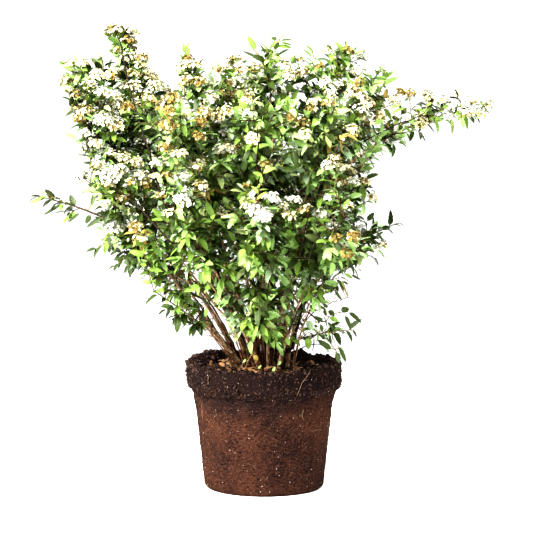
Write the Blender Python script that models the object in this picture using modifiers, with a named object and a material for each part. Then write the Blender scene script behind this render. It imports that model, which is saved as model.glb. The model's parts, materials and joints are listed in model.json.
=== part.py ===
"""Bridal wreath spirea, a many-stemmed flowering shrub, standing on its pot-shaped root ball.

Each cane rises from the soil as one tapering limb and stops where it enters its own mass
of foliage. The mass goes on from the cane's tip: a leader with side shoots, leaves and
flower heads, joined into one solid. Metres, +Z up, the origin at the middle of the root
ball's flat underside, the shrub's front facing -Y.
"""

import math
import random
from collections import namedtuple

import bmesh
import bpy
import numpy as np
from mathutils import Matrix, Vector
from mathutils.bvhtree import BVHTree

# Root ball: the cast of a nursery pot, with the band of the pot's rim round its top
BALL_HEIGHT = 0.230
BALL_FOOT_RADIUS = 0.107
BALL_SHOULDER_RADIUS = 0.1275
BAND_BOTTOM = 0.184
BAND_RADIUS = 0.1385
BAND_TOP_RADIUS = 0.1395
LIP_WIDTH = 0.016
SOIL_TOP = 0.216
SOIL_RADIUS = 0.108
EDGE_ROUNDING = 0.005
BALL_SIDES = 36

# Canes and boughs: where they stand, how they taper and how near they come to each other
GAP = 0.0003
CROWN_FOOT = Vector((0.006, -0.004, SOIL_TOP))
FOOT_RING_X = 0.062
FOOT_RING_Y = 0.050
FOOT_SPACING = 0.004
FOOT_EASING_ROUNDS = 200
FOOT_FLARE = 0.45
FLARE_HEIGHT = 0.025
SUNK_FOOT = 0.020
LIMB_TIP_SHARE = 0.60
LIMB_STEP = 0.055
LIMB_ROUNDNESS = 1
ARC_STRETCH = 0.6
WELD = 0.000001
FORK_SEARCH_STEP = 0.0002
FORK_SEARCH_REACH = 0.15
FORK_RIM_POINTS = 16

# Space of each mass: an egg round its axis, less what its neighbours and the limbs take
AXIS_SAMPLES = 30
ROOT_WIDTH = 0.60
WIDEST = 0.45
CELL_MARGIN = 0.0008
LIMB_CLEARANCE = 0.0022
BALL_CLEARANCE = 0.004
PROBE_STEP = 0.0055

# Leaders and side shoots
SQUARE_END = 0.004
LEADER_TIP_RADIUS = 0.0012
LEADER_END = 0.050
FLOWERING_END = 0.026
FLOWERING_BLOOM = 0.65
SHOOT_RADII = (0.0017, 0.0015, 0.0011)
SHOOT_PITCH = 0.022
SHOOT_EVERY = 2
SHOOT_ANGLE_LOW = math.radians(62)
SHOOT_ANGLE_HIGH = math.radians(34)
SHOOT_LIFT = 0.35
SHOOT_SHORTEST = 0.025
SHOOT_SHORTENING = 0.85
SHOOT_VARIATION = (0.75, 1.05)
SHOOT_APART = 0.004
SHOOT_LEAF_ROOM = 0.0304
SHOOT_LONGEST_AT_LEAST = 0.030
GOLDEN_TURN = math.radians(137.5)

# Leaves, each standing for a few of the real ones, and flower heads
LEAF_LENGTH = 0.080
LEAF_WIDTH = 0.036
LEAF_THICKNESS = 0.0018
LEAF_SINK = 0.0004
END_LEAF_SINK = 0.0025
LEAF_PITCH = 0.024
LEAF_VARIATION = (0.85, 1.10)
LEAF_ROLL = 0.6
LEAF_ANGLE = math.radians(50)
LEAF_DROOP = 0.25
UPRIGHT_LEAF = 0.05
LEAF_TRIES = 6
LEAF_TRY_TURN = math.radians(70)
LEAF_TRY_SIZE = 0.92
LEAF_APART = 0.0038
LEAF_STALK_SHARE = 0.2
LAST_LEAF_SHARE = 0.92
END_LEAF_ANGLE = math.radians(8)
END_LEAF_SIZE = 0.95
TIP_LEAVES = 3
TIP_LEAF_SIZE = 0.85
HEAD_RADIUS = 0.020
HEAD_HEIGHT_SHARE = 0.62
HEAD_SEAT = 0.35
SEED = 41
SEEDS_PER_MASS = 1000

WAND_FIELDS = "name tip bow bare spread radius bloom parent fork"
Wand = namedtuple("Wand", WAND_FIELDS, defaults=(None, 0.0))

# One row for each limb and the mass it carries: the furthest point of its foliage, how
# far its arc bows upwards as a share of its chord, the share of the arc that is bare, the
# half width of its foliage, the limb's radius at its foot, and the share of its shoots that
# end in a flower head. A bough also has the cane that it forks from, and how far up.
WANDS = [
    Wand("shoulder_left", Vector((-0.350, -0.050, 0.765)), 0.12, 0.40, 0.100, 0.0056, 1.0),
    Wand("lobe_left", Vector((-0.296, -0.120, 0.578)), -0.01, 0.36, 0.100, 0.0062, 1.0),
    Wand("shoot_left", Vector((-0.418, -0.045, 0.532)), 0.28, 0.52, 0.055, 0.0048, 0.0),
    Wand("top_left", Vector((-0.140, -0.040, 0.780)), 0.06, 0.42, 0.072, 0.0048, 0.9),
    Wand("top_middle", Vector((0.004, 0.000, 0.810)), 0.04, 0.36, 0.110, 0.0050, 0.3),
    Wand("top_right", Vector((0.145, 0.010, 0.802)), 0.08, 0.40, 0.100, 0.0050, 0.7),
    Wand("branch_right", Vector((0.418, 0.030, 0.692)), 0.48, 0.50, 0.055, 0.0056, 1.0),
    Wand("front_upper_left", Vector((-0.170, -0.195, 0.690)), 0.10, 0.36, 0.105, 0.0046, 0.8),
    Wand("front_upper", Vector((-0.020, -0.205, 0.715)), 0.10, 0.32, 0.105, 0.0046, 0.3),
    Wand("front_upper_right", Vector((0.125, -0.195, 0.700)), 0.10, 0.36, 0.105, 0.0044, 0.4),
    Wand("front_left", Vector((-0.165, -0.235, 0.520)), 0.12, 0.34, 0.095, 0.0040, 0.6),
    Wand("front_middle", Vector((-0.015, -0.275, 0.515)), 0.16, 0.34, 0.095, 0.0038, 0.7),
    Wand("front_right", Vector((0.135, -0.220, 0.500)), 0.12, 0.34, 0.095, 0.0038, 0.4),
    Wand("low_right", Vector((0.256, 0.000, 0.484)), 0.33, 0.34, 0.078, 0.0040, 0.4),
    Wand("back_upper_left", Vector((-0.235, 0.160, 0.715)), 0.10, 0.36, 0.105, 0.0046, 0.8),
    Wand("back_upper", Vector((-0.072, 0.200, 0.768)), 0.10, 0.36, 0.105, 0.0046, 0.7),
    Wand("back_upper_right", Vector((0.155, 0.165, 0.735)), 0.10, 0.36, 0.095, 0.0046, 0.7),
    Wand("spire_left", Vector((-0.272, 0.044, 0.835)), -0.03, 0.38, 0.070, 0.0032, 1.0,
         "shoulder_left", 0.28),
    Wand("crest_right", Vector((0.205, -0.115, 0.757)), 0.06, 0.32, 0.080, 0.0032, 0.8,
         "top_right", 0.32),
    Wand("flank_right", Vector((0.190, -0.070, 0.568)), 0.08, 0.28, 0.080, 0.0032, 0.5,
         "branch_right", 0.26),
    Wand("side_left", Vector((-0.328, -0.095, 0.672)), 0.08, 0.30, 0.080, 0.0032, 0.9,
         "shoulder_left", 0.34),
    Wand("side_right", Vector((0.200, 0.050, 0.668)), 0.08, 0.30, 0.068, 0.0032, 0.7,
         "back_upper_right", 0.30),
    Wand("skirt_left", Vector((-0.278, -0.010, 0.432)), 0.10, 0.25, 0.075, 0.0030, 0.2,
         "shoulder_left", 0.20),
    Wand("low_left", Vector((-0.196, -0.150, 0.374)), 0.02, 0.22, 0.072, 0.0026, 0.0,
         "lobe_left", 0.16),
    Wand("front_low", Vector((-0.010, -0.205, 0.350)), 0.10, 0.20, 0.075, 0.0024, 0.0,
         "front_middle", 0.14),
    Wand("rim_right", Vector((0.172, -0.065, 0.292)), 0.10, 0.20, 0.065, 0.0022, 0.0,
         "low_right", 0.12),
    Wand("back_left", Vector((-0.215, 0.190, 0.500)), 0.10, 0.24, 0.100, 0.0032, 0.5,
         "back_upper_left", 0.24),
    Wand("back_middle", Vector((-0.010, 0.275, 0.535)), 0.10, 0.24, 0.100, 0.0032, 0.5,
         "back_upper", 0.24),
    Wand("back_right", Vector((0.185, 0.195, 0.490)), 0.10, 0.24, 0.100, 0.0032, 0.5,
         "back_upper_right", 0.24),
]

Material = namedtuple("Material", "name colour roughness")
SOIL = Material("root_ball_soil", (0.095, 0.042, 0.026, 1.0), 0.95)
BARK = Material("cane_bark", (0.180, 0.095, 0.050, 1.0), 0.80)
FOLIAGE = Material("spirea_foliage", (0.085, 0.210, 0.030, 1.0), 0.55)


def clear_scene():
    """Remove what is in the file, helpers included."""
    for obj in list(bpy.data.objects):
        bpy.data.objects.remove(obj)
    for collection in list(bpy.data.collections):
        bpy.data.collections.remove(collection)


def new_collection(name):
    """A collection of this name in the scene."""
    collection = bpy.data.collections.new(name)
    bpy.context.scene.collection.children.link(collection)
    return collection


def make_material(spec):
    """A Principled material from a colour and a roughness."""
    material = bpy.data.materials.new(spec.name)
    material.use_nodes = True
    shader = material.node_tree.nodes["Principled BSDF"]
    shader.inputs["Base Color"].default_value = spec.colour
    shader.inputs["Roughness"].default_value = spec.roughness
    shader.inputs["Metallic"].default_value = 0.0
    return material


def add_object(name, mesh, collection, material=None):
    """A mesh object with one material."""
    obj = bpy.data.objects.new(name, mesh)
    if material is not None:
        mesh.materials.clear()
        mesh.materials.append(material)
    collection.objects.link(obj)
    return obj


def root_ball_profile():
    """The root ball's half section, from the middle of the soil over the lip and down."""
    lip = BAND_TOP_RADIUS - LIP_WIDTH
    ledge = BAND_BOTTOM - EDGE_ROUNDING
    return [
        (0.0, SOIL_TOP),
        (SOIL_RADIUS, SOIL_TOP),
        (lip, BALL_HEIGHT - EDGE_ROUNDING / 2),
        (lip + LIP_WIDTH / 2, BALL_HEIGHT),
        (BAND_TOP_RADIUS - EDGE_ROUNDING / 2, BALL_HEIGHT - EDGE_ROUNDING / 4),
        (BAND_TOP_RADIUS, BALL_HEIGHT - EDGE_ROUNDING),
        (BAND_RADIUS, BAND_BOTTOM + EDGE_ROUNDING),
        (BAND_RADIUS - EDGE_ROUNDING / 2, BAND_BOTTOM),
        (BALL_SHOULDER_RADIUS, ledge),
        (BALL_FOOT_RADIUS + EDGE_ROUNDING / 4, EDGE_ROUNDING),
        (BALL_FOOT_RADIUS - EDGE_ROUNDING / 2, 0.0),
        (0.0, 0.0),
    ]


def make_root_ball(collection, material):
    """The root ball, turned from its half section."""
    bm = bmesh.new()
    corners = [bm.verts.new((radius, 0.0, height)) for radius, height in root_ball_profile()]
    for first, second in zip(corners, corners[1:]):
        bm.edges.new((first, second))
    mesh = bpy.data.meshes.new("root_ball")
    bm.to_mesh(mesh)
    bm.free()
    ball = add_object("root_ball", mesh, collection, material)
    turned = ball.modifiers.new("turned", "SCREW")
    turned.steps = BALL_SIDES
    turned.render_steps = BALL_SIDES
    turned.use_merge_vertices = True
    turned.merge_threshold = 0.0001
    return ball


def foot_of(wand):
    """Where a cane would stand if it had the soil to itself: further out as it leans more."""
    out = Vector((wand.tip.x - CROWN_FOOT.x, wand.tip.y - CROWN_FOOT.y))
    lean = math.atan2(out.length, wand.tip.z - SOIL_TOP) / (math.pi / 2)
    side = out.normalized()
    ring = Vector((FOOT_RING_X * side.x, FOOT_RING_Y * side.y))
    return CROWN_FOOT.to_2d() + ring * lean


def spread_feet(canes):
    """The canes' feet by name, eased apart until each is clear of its neighbours."""
    feet = [foot_of(cane) for cane in canes]
    for _ in range(FOOT_EASING_ROUNDS):
        for i, first in enumerate(canes):
            for j in range(i + 1, len(canes)):
                apart = feet[j] - feet[i]
                reach = (1.0 + FOOT_FLARE) * (first.radius + canes[j].radius) + FOOT_SPACING
                if apart.length < reach:
                    push = apart.normalized() * (reach - apart.length) * 0.5
                    feet[i] = feet[i] - push
                    feet[j] = feet[j] + push
    return {cane.name: Vector((*foot, SOIL_TOP)) for cane, foot in zip(canes, feet)}


class Arc:
    """A wand's whole path, one parabola from its foot to its furthest tip."""

    def __init__(self, wand, foot):
        chord = wand.tip - foot
        along = chord.normalized()
        upward = (Vector((0, 0, 1)) - along * along.z).normalized()
        self.foot = foot
        self.tip = wand.tip
        self.control = foot + chord * 0.5 + upward * wand.bow * chord.length
        self.length = chord.length * (1.0 + ARC_STRETCH * wand.bow**2)

    def point(self, t):
        """The point at share t of the way."""
        s = 1.0 - t
        return self.foot * s * s + self.control * 2 * s * t + self.tip * t * t

    def direction(self, t):
        """The unit tangent at share t."""
        return ((self.control - self.foot) * (1 - t) + (self.tip - self.control) * t).normalized()


class Limb:
    """A cane or bough: its centre line, radii and mesh from its foot to where its mass begins."""

    def __init__(self, wand, arc, parent=None):
        self.wand = wand
        self.arc = arc
        self.start = 0.0 if parent is None else self.clear_of(parent)
        count = max(3, round(arc.length * (wand.bare - self.start) / LIMB_STEP))
        shares = [self.start + (wand.bare - self.start) * k / count for k in range(count + 1)]
        self.points = [arc.point(t) for t in shares]
        self.radii = [self.radius(t) for t in shares]
        if parent is None:
            sunk = self.points[0] - arc.direction(0.0) * SUNK_FOOT
            line = ([sunk, *self.points], [self.radii[0], *self.radii])
        else:
            line = (self.points, self.radii)
        self.mesh = swept_mesh(*line, roundness=LIMB_ROUNDNESS)

    def radius(self, t):
        """The taper from foot to tip, with a flare where a cane stands on the soil."""
        taper = self.wand.radius * (1.0 - (1.0 - LIMB_TIP_SHARE) * t / self.wand.bare)
        flare = 0.0 if self.wand.parent else FOOT_FLARE
        return taper * (1.0 + flare * math.exp(-t * self.arc.length / FLARE_HEIGHT))

    def rim(self, t):
        """Points round the limb's edge at share t."""
        middle, along = self.arc.point(t), self.arc.direction(t)
        turns = [math.tau * k / FORK_RIM_POINTS for k in range(FORK_RIM_POINTS)]
        return [middle + turned_round(along, math.pi / 2, turn) * self.radius(t) for turn in turns]

    def clear_of(self, parent):
        """The share of the arc at which a bough's end is just clear of its cane's bark."""
        corners = [vert.co for vert in parent.mesh.vertices]
        bark = BVHTree.FromPolygons(corners, [face.vertices for face in parent.mesh.polygons])
        for k in range(1, round(FORK_SEARCH_REACH / FORK_SEARCH_STEP)):
            t = k * FORK_SEARCH_STEP
            nearest = [(point, *bark.find_nearest(point)[:2]) for point in self.rim(t)]
            if all((point - place).dot(normal) > GAP for point, place, normal in nearest):
                return t
        raise ValueError(self.wand.name + " never leaves its cane")


def limbs_of(wands):
    """Every wand's limb, in order. A bough comes after the cane that it forks from."""
    feet = spread_feet([wand for wand in wands if wand.parent is None])
    limbs = {}
    for wand in wands:
        parent = limbs.get(wand.parent)
        foot = parent.arc.point(wand.fork) if parent else feet[wand.name]
        limbs[wand.name] = Limb(wand, Arc(wand, foot), parent)
    return list(limbs.values())


def width_share(s):
    """How wide a mass is at share s of its axis, as a share of its spread: an egg's outline."""
    if s < WIDEST:
        return ROOT_WIDTH + (1.0 - ROOT_WIDTH) * math.sin(math.pi / 2 * s / WIDEST)
    return math.sqrt(max(0.0, 1.0 - ((s - WIDEST) / (1.0 - WIDEST)) ** 2))


class Space:
    """Shares the crown out among the masses and keeps them off the limbs and the ball."""

    def __init__(self, wands, arcs, limbs):
        shares = [k / AXIS_SAMPLES for k in range(AXIS_SAMPLES + 1)]
        self.axes = np.array([
            [arc.point(wand.bare + (1 - wand.bare) * s) for s in shares]
            for wand, arc in zip(wands, arcs)
        ])
        self.reaches = np.array([[wand.spread * width_share(s) for s in shares] for wand in wands])
        pairs = [(limb, k) for limb in limbs for k in range(len(limb.points) - 1)]
        self.starts = np.array([limb.points[k] for limb, k in pairs])
        self.runs = np.array([limb.points[k + 1] - limb.points[k] for limb, k in pairs])
        self.radii = np.array([limb.radii[k] for limb, k in pairs])

    def in_cell(self, index, points):
        """Whether every point is inside this mass's envelope, and deeper in it than in any other."""
        outside = np.linalg.norm(points[:, None, None] - self.axes[None], axis=3) - self.reaches
        outside = outside.min(axis=2)
        own = outside[:, index].copy()
        outside[:, index] = np.inf
        return bool((own < 0.0).all() and (outside.min(axis=1) - own > 2 * CELL_MARGIN).all())

    def clear(self, points):
        """Whether every point is off the limbs and outside the root ball."""
        across = points[:, None] - self.starts[None]
        share = (across * self.runs).sum(axis=2) / (self.runs**2).sum(axis=1)
        across -= self.runs * np.clip(share, 0.0, 1.0)[:, :, None]
        off_limbs = np.linalg.norm(across, axis=2) > self.radii + LIMB_CLEARANCE
        over_ball = np.hypot(points[:, 0], points[:, 1]) < BAND_TOP_RADIUS + BALL_CLEARANCE
        low = points[:, 2] < BALL_HEIGHT + BALL_CLEARANCE
        return bool(off_limbs.all()) and not bool((over_ball & low).any())

    def free(self, index, points):
        """Whether every point lies in the mass's own cell, off the limbs and the ball."""
        points = np.array(points)
        return self.in_cell(index, points) and self.clear(points)


def swept_mesh(points, radii, roundness=0, section=None):
    """A tube through the points as a closed mesh: a bevelled curve, its caps welded on."""
    curve = bpy.data.curves.new("tube", "CURVE")
    curve.dimensions = "3D"
    curve.use_fill_caps = True
    if section is None:
        curve.bevel_depth = 1.0
        curve.bevel_resolution = roundness
    else:
        curve.bevel_mode = "OBJECT"
        curve.bevel_object = section
    spline = curve.splines.new("POLY")
    spline.points.add(len(points) - 1)
    for spot, point, radius in zip(spline.points, points, radii):
        spot.co = (*point, 1.0)
        spot.radius = radius
    guide = bpy.data.objects.new("tube", curve)
    bpy.context.scene.collection.objects.link(guide)
    graph = bpy.context.evaluated_depsgraph_get()
    mesh = bpy.data.meshes.new_from_object(guide.evaluated_get(graph))
    bpy.data.objects.remove(guide)
    bpy.data.curves.remove(curve)
    bm = bmesh.new()
    bm.from_mesh(mesh)
    bmesh.ops.remove_doubles(bm, verts=bm.verts, dist=WELD)
    bmesh.ops.recalc_face_normals(bm, faces=bm.faces)
    bm.to_mesh(mesh)
    bm.free()
    return mesh


def make_limb(limb, collection, material):
    """A limb's object, cut flat on the soil if it is a cane."""
    if limb.wand.parent is None:
        bm = bmesh.new()
        bm.from_mesh(limb.mesh)
        cut = bmesh.ops.bisect_plane(
            bm,
            geom=bm.verts[:] + bm.edges[:] + bm.faces[:],
            plane_co=(0.0, 0.0, SOIL_TOP + GAP),
            plane_no=(0.0, 0.0, 1.0),
            clear_inner=True,
        )
        rim = [item for item in cut["geom_cut"] if isinstance(item, bmesh.types.BMEdge)]
        bmesh.ops.holes_fill(bm, edges=rim, sides=0)
        bmesh.ops.recalc_face_normals(bm, faces=bm.faces)
        bm.to_mesh(limb.mesh)
        bm.free()
    kind = "bough_" if limb.wand.parent else "cane_"
    limb.mesh.shade_smooth()
    return add_object(kind + limb.wand.name, limb.mesh, collection, material)


def three_sided_section():
    """A guide: the three-cornered section that twigs are swept along."""
    curve = bpy.data.curves.new("twig_section", "CURVE")
    spline = curve.splines.new("POLY")
    spline.points.add(2)
    for k, spot in enumerate(spline.points):
        turn = math.tau * k / 3
        spot.co = (math.cos(turn), math.sin(turn), 0.0, 1.0)
    spline.use_cyclic_u = True
    guide = bpy.data.objects.new("twig_section", curve)
    bpy.context.scene.collection.objects.link(guide)
    guide.hide_render = True
    return guide


def leaf_mesh():
    """A thin leaf lying along +Y from its root, as long, wide and thick as one unit."""
    bm = bmesh.new()
    for corner in ((0.0, 0.0, 0.0), (0.0, 1.0, 0.0), (-0.5, 0.5, 1.0), (0.5, 0.5, 1.0)):
        bm.verts.new(corner)
    bmesh.ops.convex_hull(bm, input=bm.verts)
    bm.normal_update()
    mesh = bpy.data.meshes.new("leaf")
    bm.to_mesh(mesh)
    bm.free()
    return mesh


def head_mesh():
    """A flower head of twelve faces, one unit in radius."""
    bm = bmesh.new()
    bmesh.ops.create_uvsphere(bm, u_segments=6, v_segments=2, radius=1.0)
    mesh = bpy.data.meshes.new("flower_head")
    bm.to_mesh(mesh)
    bm.free()
    return mesh


def turned_round(direction, angle, turn):
    """A unit direction leaning from the given one by an angle, to the side that turn says."""
    side = direction.orthogonal().normalized()
    other = direction.cross(side)
    lean = side * math.cos(turn) + other * math.sin(turn)
    return (direction * math.cos(angle) + lean * math.sin(angle)).normalized()


def leaf_matrix(root, direction, roll, size):
    """Places the unit leaf: its root sunk in the stem, its blade facing up but for the roll."""
    across = direction.cross(Vector((0, 0, 1)))
    if across.length < UPRIGHT_LEAF:
        across = direction.orthogonal()
    across.normalize()
    face = across.cross(direction).normalized()
    tilted = across * math.cos(roll) + face * math.sin(roll)
    facing = tilted.cross(direction).normalized()
    turn = Matrix((tilted, direction, facing)).transposed().to_4x4()
    scale = Matrix.Diagonal((LEAF_WIDTH * size, LEAF_LENGTH * size, LEAF_THICKNESS, 1.0))
    return Matrix.Translation(root - direction * LEAF_SINK) @ turn @ scale


def leaf_probes():
    """Points spread over the unit leaf, beyond its stalk, for finding what it would meet."""
    lengthwise = np.arange(LEAF_LENGTH, LEAF_STALK_SHARE * LEAF_LENGTH, -PROBE_STEP) / LEAF_LENGTH
    crosswise = np.arange(-0.5, 0.5 + PROBE_STEP, PROBE_STEP / LEAF_WIDTH)
    edge = PROBE_STEP / LEAF_LENGTH
    return [Vector((x, y, 0)) for y in lengthwise for x in crosswise if abs(x) < min(y, 1 - y) + edge]


def head_probes():
    """Points all over a ball one unit in radius."""
    sides = (-1, 0, 1)
    corners = [Vector((x, y, z)) for x in sides for y in sides for z in sides]
    return [corner.normalized() for corner in corners if corner.length > 0]


LEAF_PROBES = leaf_probes()
HEAD_PROBES = head_probes()


class Mass:
    """Grows one mass of foliage by a seeded rule, inside its cell and clear of the limbs.

    The leader and the shoots grow first, then the flower heads at their ends, then the
    leaves, each where it meets nothing that is there already.
    """

    def __init__(self, index, limb, space):
        self.index = index
        self.limb = limb
        self.wand = limb.wand
        self.arc = limb.arc
        self.space = space
        flowering = self.wand.bloom > FLOWERING_BLOOM
        self.last = 1.0 - (FLOWERING_END if flowering else LEADER_END) / self.arc.length
        self.tubes = []
        self.leaves = []
        self.heads = []
        self.taken = np.empty((0, 3))

    def free(self, points, apart):
        """Whether the points are in the mass's own space and this far from what has grown."""
        points = np.array(points)
        if not self.space.free(self.index, points):
            return False
        away = np.linalg.norm(points[:, None] - self.taken[None], axis=2)
        return away.size == 0 or away.min() > apart

    def take(self, points):
        """Mark the points as grown over."""
        self.taken = np.vstack([self.taken, np.array(points)])

    def add_leaf(self, root, axis, angle, turn, size, roll):
        """One leaf where there is room for it, tried on a few sides of its stem and smaller."""
        for attempt in range(LEAF_TRIES):
            direction = turned_round(axis, angle, turn + attempt * LEAF_TRY_TURN)
            direction = (direction - Vector((0, 0, LEAF_DROOP * math.sin(angle)))).normalized()
            matrix = leaf_matrix(root, direction, roll, size * LEAF_TRY_SIZE**attempt)
            probes = [matrix @ probe for probe in LEAF_PROBES]
            if self.free(probes, LEAF_APART):
                self.leaves.append(matrix)
                self.take(probes)
                return

    def add_side_leaf(self, root, axis, turn, rng):
        """A leaf on the side of a stem, of a size and roll of its own."""
        size = rng.uniform(*LEAF_VARIATION)
        self.add_leaf(root, axis, LEAF_ANGLE, turn, size, rng.uniform(-LEAF_ROLL, LEAF_ROLL))

    def add_head(self, end, axis):
        """A flower head on the end of a twig, if there is room for it."""
        place = end + axis * HEAD_RADIUS * HEAD_SEAT
        probes = [place + probe * HEAD_RADIUS for probe in HEAD_PROBES]
        if self.free(probes, 0.0):
            self.heads.append(place)
            self.take(probes)
            return True
        return False

    def grow_leader(self):
        """The leader, from the limb's tip to near the mass's own tip."""
        bare = self.wand.bare
        count = max(3, round(self.arc.length * (self.last - bare) / LIMB_STEP))
        before, end = self.limb.points[-2:]
        straight = (end - before).normalized()
        start = end + straight * GAP
        square = start + straight * SQUARE_END
        shares = [bare + (self.last - bare) * k / count for k in range(1, count + 1)]
        thick = self.limb.radii[-1]
        radii = [thick + (LEADER_TIP_RADIUS - thick) * k / count for k in range(count + 1)]
        points = [start, square] + [self.arc.point(t) for t in shares]
        self.tubes.append((points, [thick, *radii]))
        fine = round(self.arc.length * (self.last - bare) / PROBE_STEP)
        self.take([self.arc.point(bare + (self.last - bare) * k / fine) for k in range(fine + 1)])

    def grow_shoot(self, base, direction, length):
        """A side shoot that lifts towards its tip, as long as there is room for it."""
        lifted = (direction + Vector((0, 0, SHOOT_LIFT))).normalized()
        while length > SHOOT_SHORTEST:
            middle = base + direction * length * 0.5
            end = middle + lifted * length * 0.5
            fine = round(length / PROBE_STEP)
            route = [base.lerp(middle, 2 * k / fine) for k in range(1, fine // 2 + 1)]
            route += [middle.lerp(end, 2 * k / fine) for k in range(1, fine // 2 + 1)]
            if self.free(route[2:], SHOOT_APART):
                self.tubes.append(([base, middle, end], SHOOT_RADII))
                self.take(route)
                return middle, end
            length *= SHOOT_SHORTENING
        return None

    def leaf_shoot(self, base, middle, end, rng):
        """The leaves along a shoot."""
        length = (middle - base).length + (end - middle).length
        count = max(1, round(length / LEAF_PITCH))
        turn = rng.uniform(0.0, math.tau)
        for k in range(1, count + 1):
            share = LAST_LEAF_SHARE * k / count
            outer = share > 0.5
            spot = middle.lerp(end, share * 2 - 1) if outer else base.lerp(middle, share * 2)
            axis = (end - middle).normalized() if outer else (middle - base).normalized()
            turn += GOLDEN_TURN
            self.add_side_leaf(spot, axis, turn, rng)

    def grow_frame(self):
        """The leader and its side shoots: the shoots, and the leader's nodes that have none."""
        self.grow_leader()
        bare = self.wand.bare
        run = self.arc.length * (self.last - bare)
        shoots = []
        nodes = []
        for k in range(1, int(run / SHOOT_PITCH)):
            rng = random.Random(SEED + SEEDS_PER_MASS * self.index + k)
            s = k * SHOOT_PITCH / run
            t = bare + (self.last - bare) * s
            base, axis = self.arc.point(t), self.arc.direction(t)
            angle = SHOOT_ANGLE_LOW + (SHOOT_ANGLE_HIGH - SHOOT_ANGLE_LOW) * s
            turn = k * GOLDEN_TURN + self.index
            grown = None
            if k % SHOOT_EVERY == 0:
                room = self.wand.spread * width_share(s) - SHOOT_LEAF_ROOM
                length = max(SHOOT_LONGEST_AT_LEAST, room / math.sin(angle))
                length *= rng.uniform(*SHOOT_VARIATION)
                grown = self.grow_shoot(base, turned_round(axis, angle, turn), length)
            if grown:
                shoots.append((base, *grown, rng))
            else:
                nodes.append((base, axis, turn, rng))
        return shoots, nodes

    def grow(self):
        """The whole mass."""
        shoots, nodes = self.grow_frame()
        tip, heading = self.arc.point(self.last), self.arc.direction(self.last)
        ends = [(tip, heading, random.Random(SEED + SEEDS_PER_MASS * self.index))]
        ends += [(end, (end - middle).normalized(), rng) for _, middle, end, rng in shoots]
        for end, axis, rng in ends:
            if rng.random() > self.wand.bloom or not self.add_head(end, axis):
                turn = rng.uniform(0.0, math.tau)
                root = end - axis * END_LEAF_SINK
                self.add_leaf(root, axis, END_LEAF_ANGLE, turn, END_LEAF_SIZE, LEAF_ROLL / 2)
        for side in range(TIP_LEAVES):
            turn = side * math.tau / TIP_LEAVES
            root = tip - heading * END_LEAF_SINK
            self.add_leaf(root, heading, LEAF_ANGLE, turn, TIP_LEAF_SIZE, 0.0)
        for base, middle, end, rng in shoots:
            self.leaf_shoot(base, middle, end, rng)
        for base, axis, turn, rng in nodes:
            self.add_side_leaf(base, axis, turn, rng)
            self.add_side_leaf(base, axis, turn + math.pi, rng)


def shell_volume(faces):
    """The signed volume that a closed set of faces holds."""
    total = 0.0
    for face in faces:
        corners = [vert.co for vert in face.verts]
        for k in range(1, len(corners) - 1):
            total += corners[0].dot(corners[k].cross(corners[k + 1])) / 6.0
    return total


def keep_main_shell(bm):
    """Drop loose scraps and fill sealed hollows, by keeping only the largest shell."""
    unseen = set(bm.faces)
    shells = []
    while unseen:
        frontier = [unseen.pop()]
        shell = list(frontier)
        while frontier:
            face = frontier.pop()
            for edge in face.edges:
                for near in edge.link_faces:
                    if near in unseen:
                        unseen.remove(near)
                        shell.append(near)
                        frontier.append(near)
        shells.append(shell)
    shells.sort(key=shell_volume, reverse=True)
    dropped = [face for shell in shells[1:] for face in shell]
    if dropped:
        bmesh.ops.delete(bm, geom=dropped, context="FACES")


def join_mass(mass, shared, collection, material):
    """One Boolean union makes the leader, shoots, leaves and heads one solid."""
    pieces = new_collection("pieces")
    for points, radii in mass.tubes[1:]:
        add_object("shoot", swept_mesh(points, radii, section=shared["section"]), pieces)
    for matrix in mass.leaves:
        add_object("leaf", shared["leaf"], pieces).matrix_world = matrix
    squash = Matrix.Diagonal((HEAD_RADIUS, HEAD_RADIUS, HEAD_RADIUS * HEAD_HEIGHT_SHARE, 1.0))
    for place in mass.heads:
        head = add_object("head", shared["head"], pieces)
        head.matrix_world = Matrix.Translation(place) @ squash
    points, radii = mass.tubes[0]
    leader = add_object("leader", swept_mesh(points, radii, section=shared["section"]), collection)
    union = leader.modifiers.new("union", "BOOLEAN")
    union.operation = "UNION"
    union.operand_type = "COLLECTION"
    union.collection = pieces
    union.solver = "EXACT"
    bpy.context.view_layer.update()
    graph = bpy.context.evaluated_depsgraph_get()
    mesh = bpy.data.meshes.new_from_object(leader.evaluated_get(graph))
    bpy.data.objects.remove(leader)
    for piece in list(pieces.objects):
        bpy.data.objects.remove(piece)
    bpy.data.collections.remove(pieces)
    bm = bmesh.new()
    bm.from_mesh(mesh)
    bmesh.ops.triangulate(bm, faces=bm.faces)
    keep_main_shell(bm)
    bm.to_mesh(mesh)
    bm.free()
    mesh.name = "foliage_" + mass.wand.name
    return add_object("foliage_" + mass.wand.name, mesh, collection, material)


def main():
    """Build the root ball, the canes and the masses."""
    clear_scene()
    plant = new_collection("spirea_on_root_ball")
    soil, bark, foliage = (make_material(spec) for spec in (SOIL, BARK, FOLIAGE))
    make_root_ball(plant, soil)

    limbs = limbs_of(WANDS)
    for limb in limbs:
        make_limb(limb, plant, bark)

    space = Space(WANDS, [limb.arc for limb in limbs], limbs)
    shared = {
        "section": three_sided_section(),
        "leaf": leaf_mesh(),
        "head": head_mesh(),
    }
    for index, limb in enumerate(limbs):
        mass = Mass(index, limb, space)
        mass.grow()
        join_mass(mass, shared, plant, foliage)
    bpy.data.objects.remove(shared["section"])


if __name__ == "__main__":
    main()
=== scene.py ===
"""Looks of the bridal wreath spirea that stands on its root ball.

The frame's solids give the places. The canes are dressed in bark, the masses of foliage
are grown again by the source's rule and carried on to real twigs, leaves and flowers, and
the root ball gets its relief, crumbs and fine roots. Metres, +Z up, the front facing -Y.
"""

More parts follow.
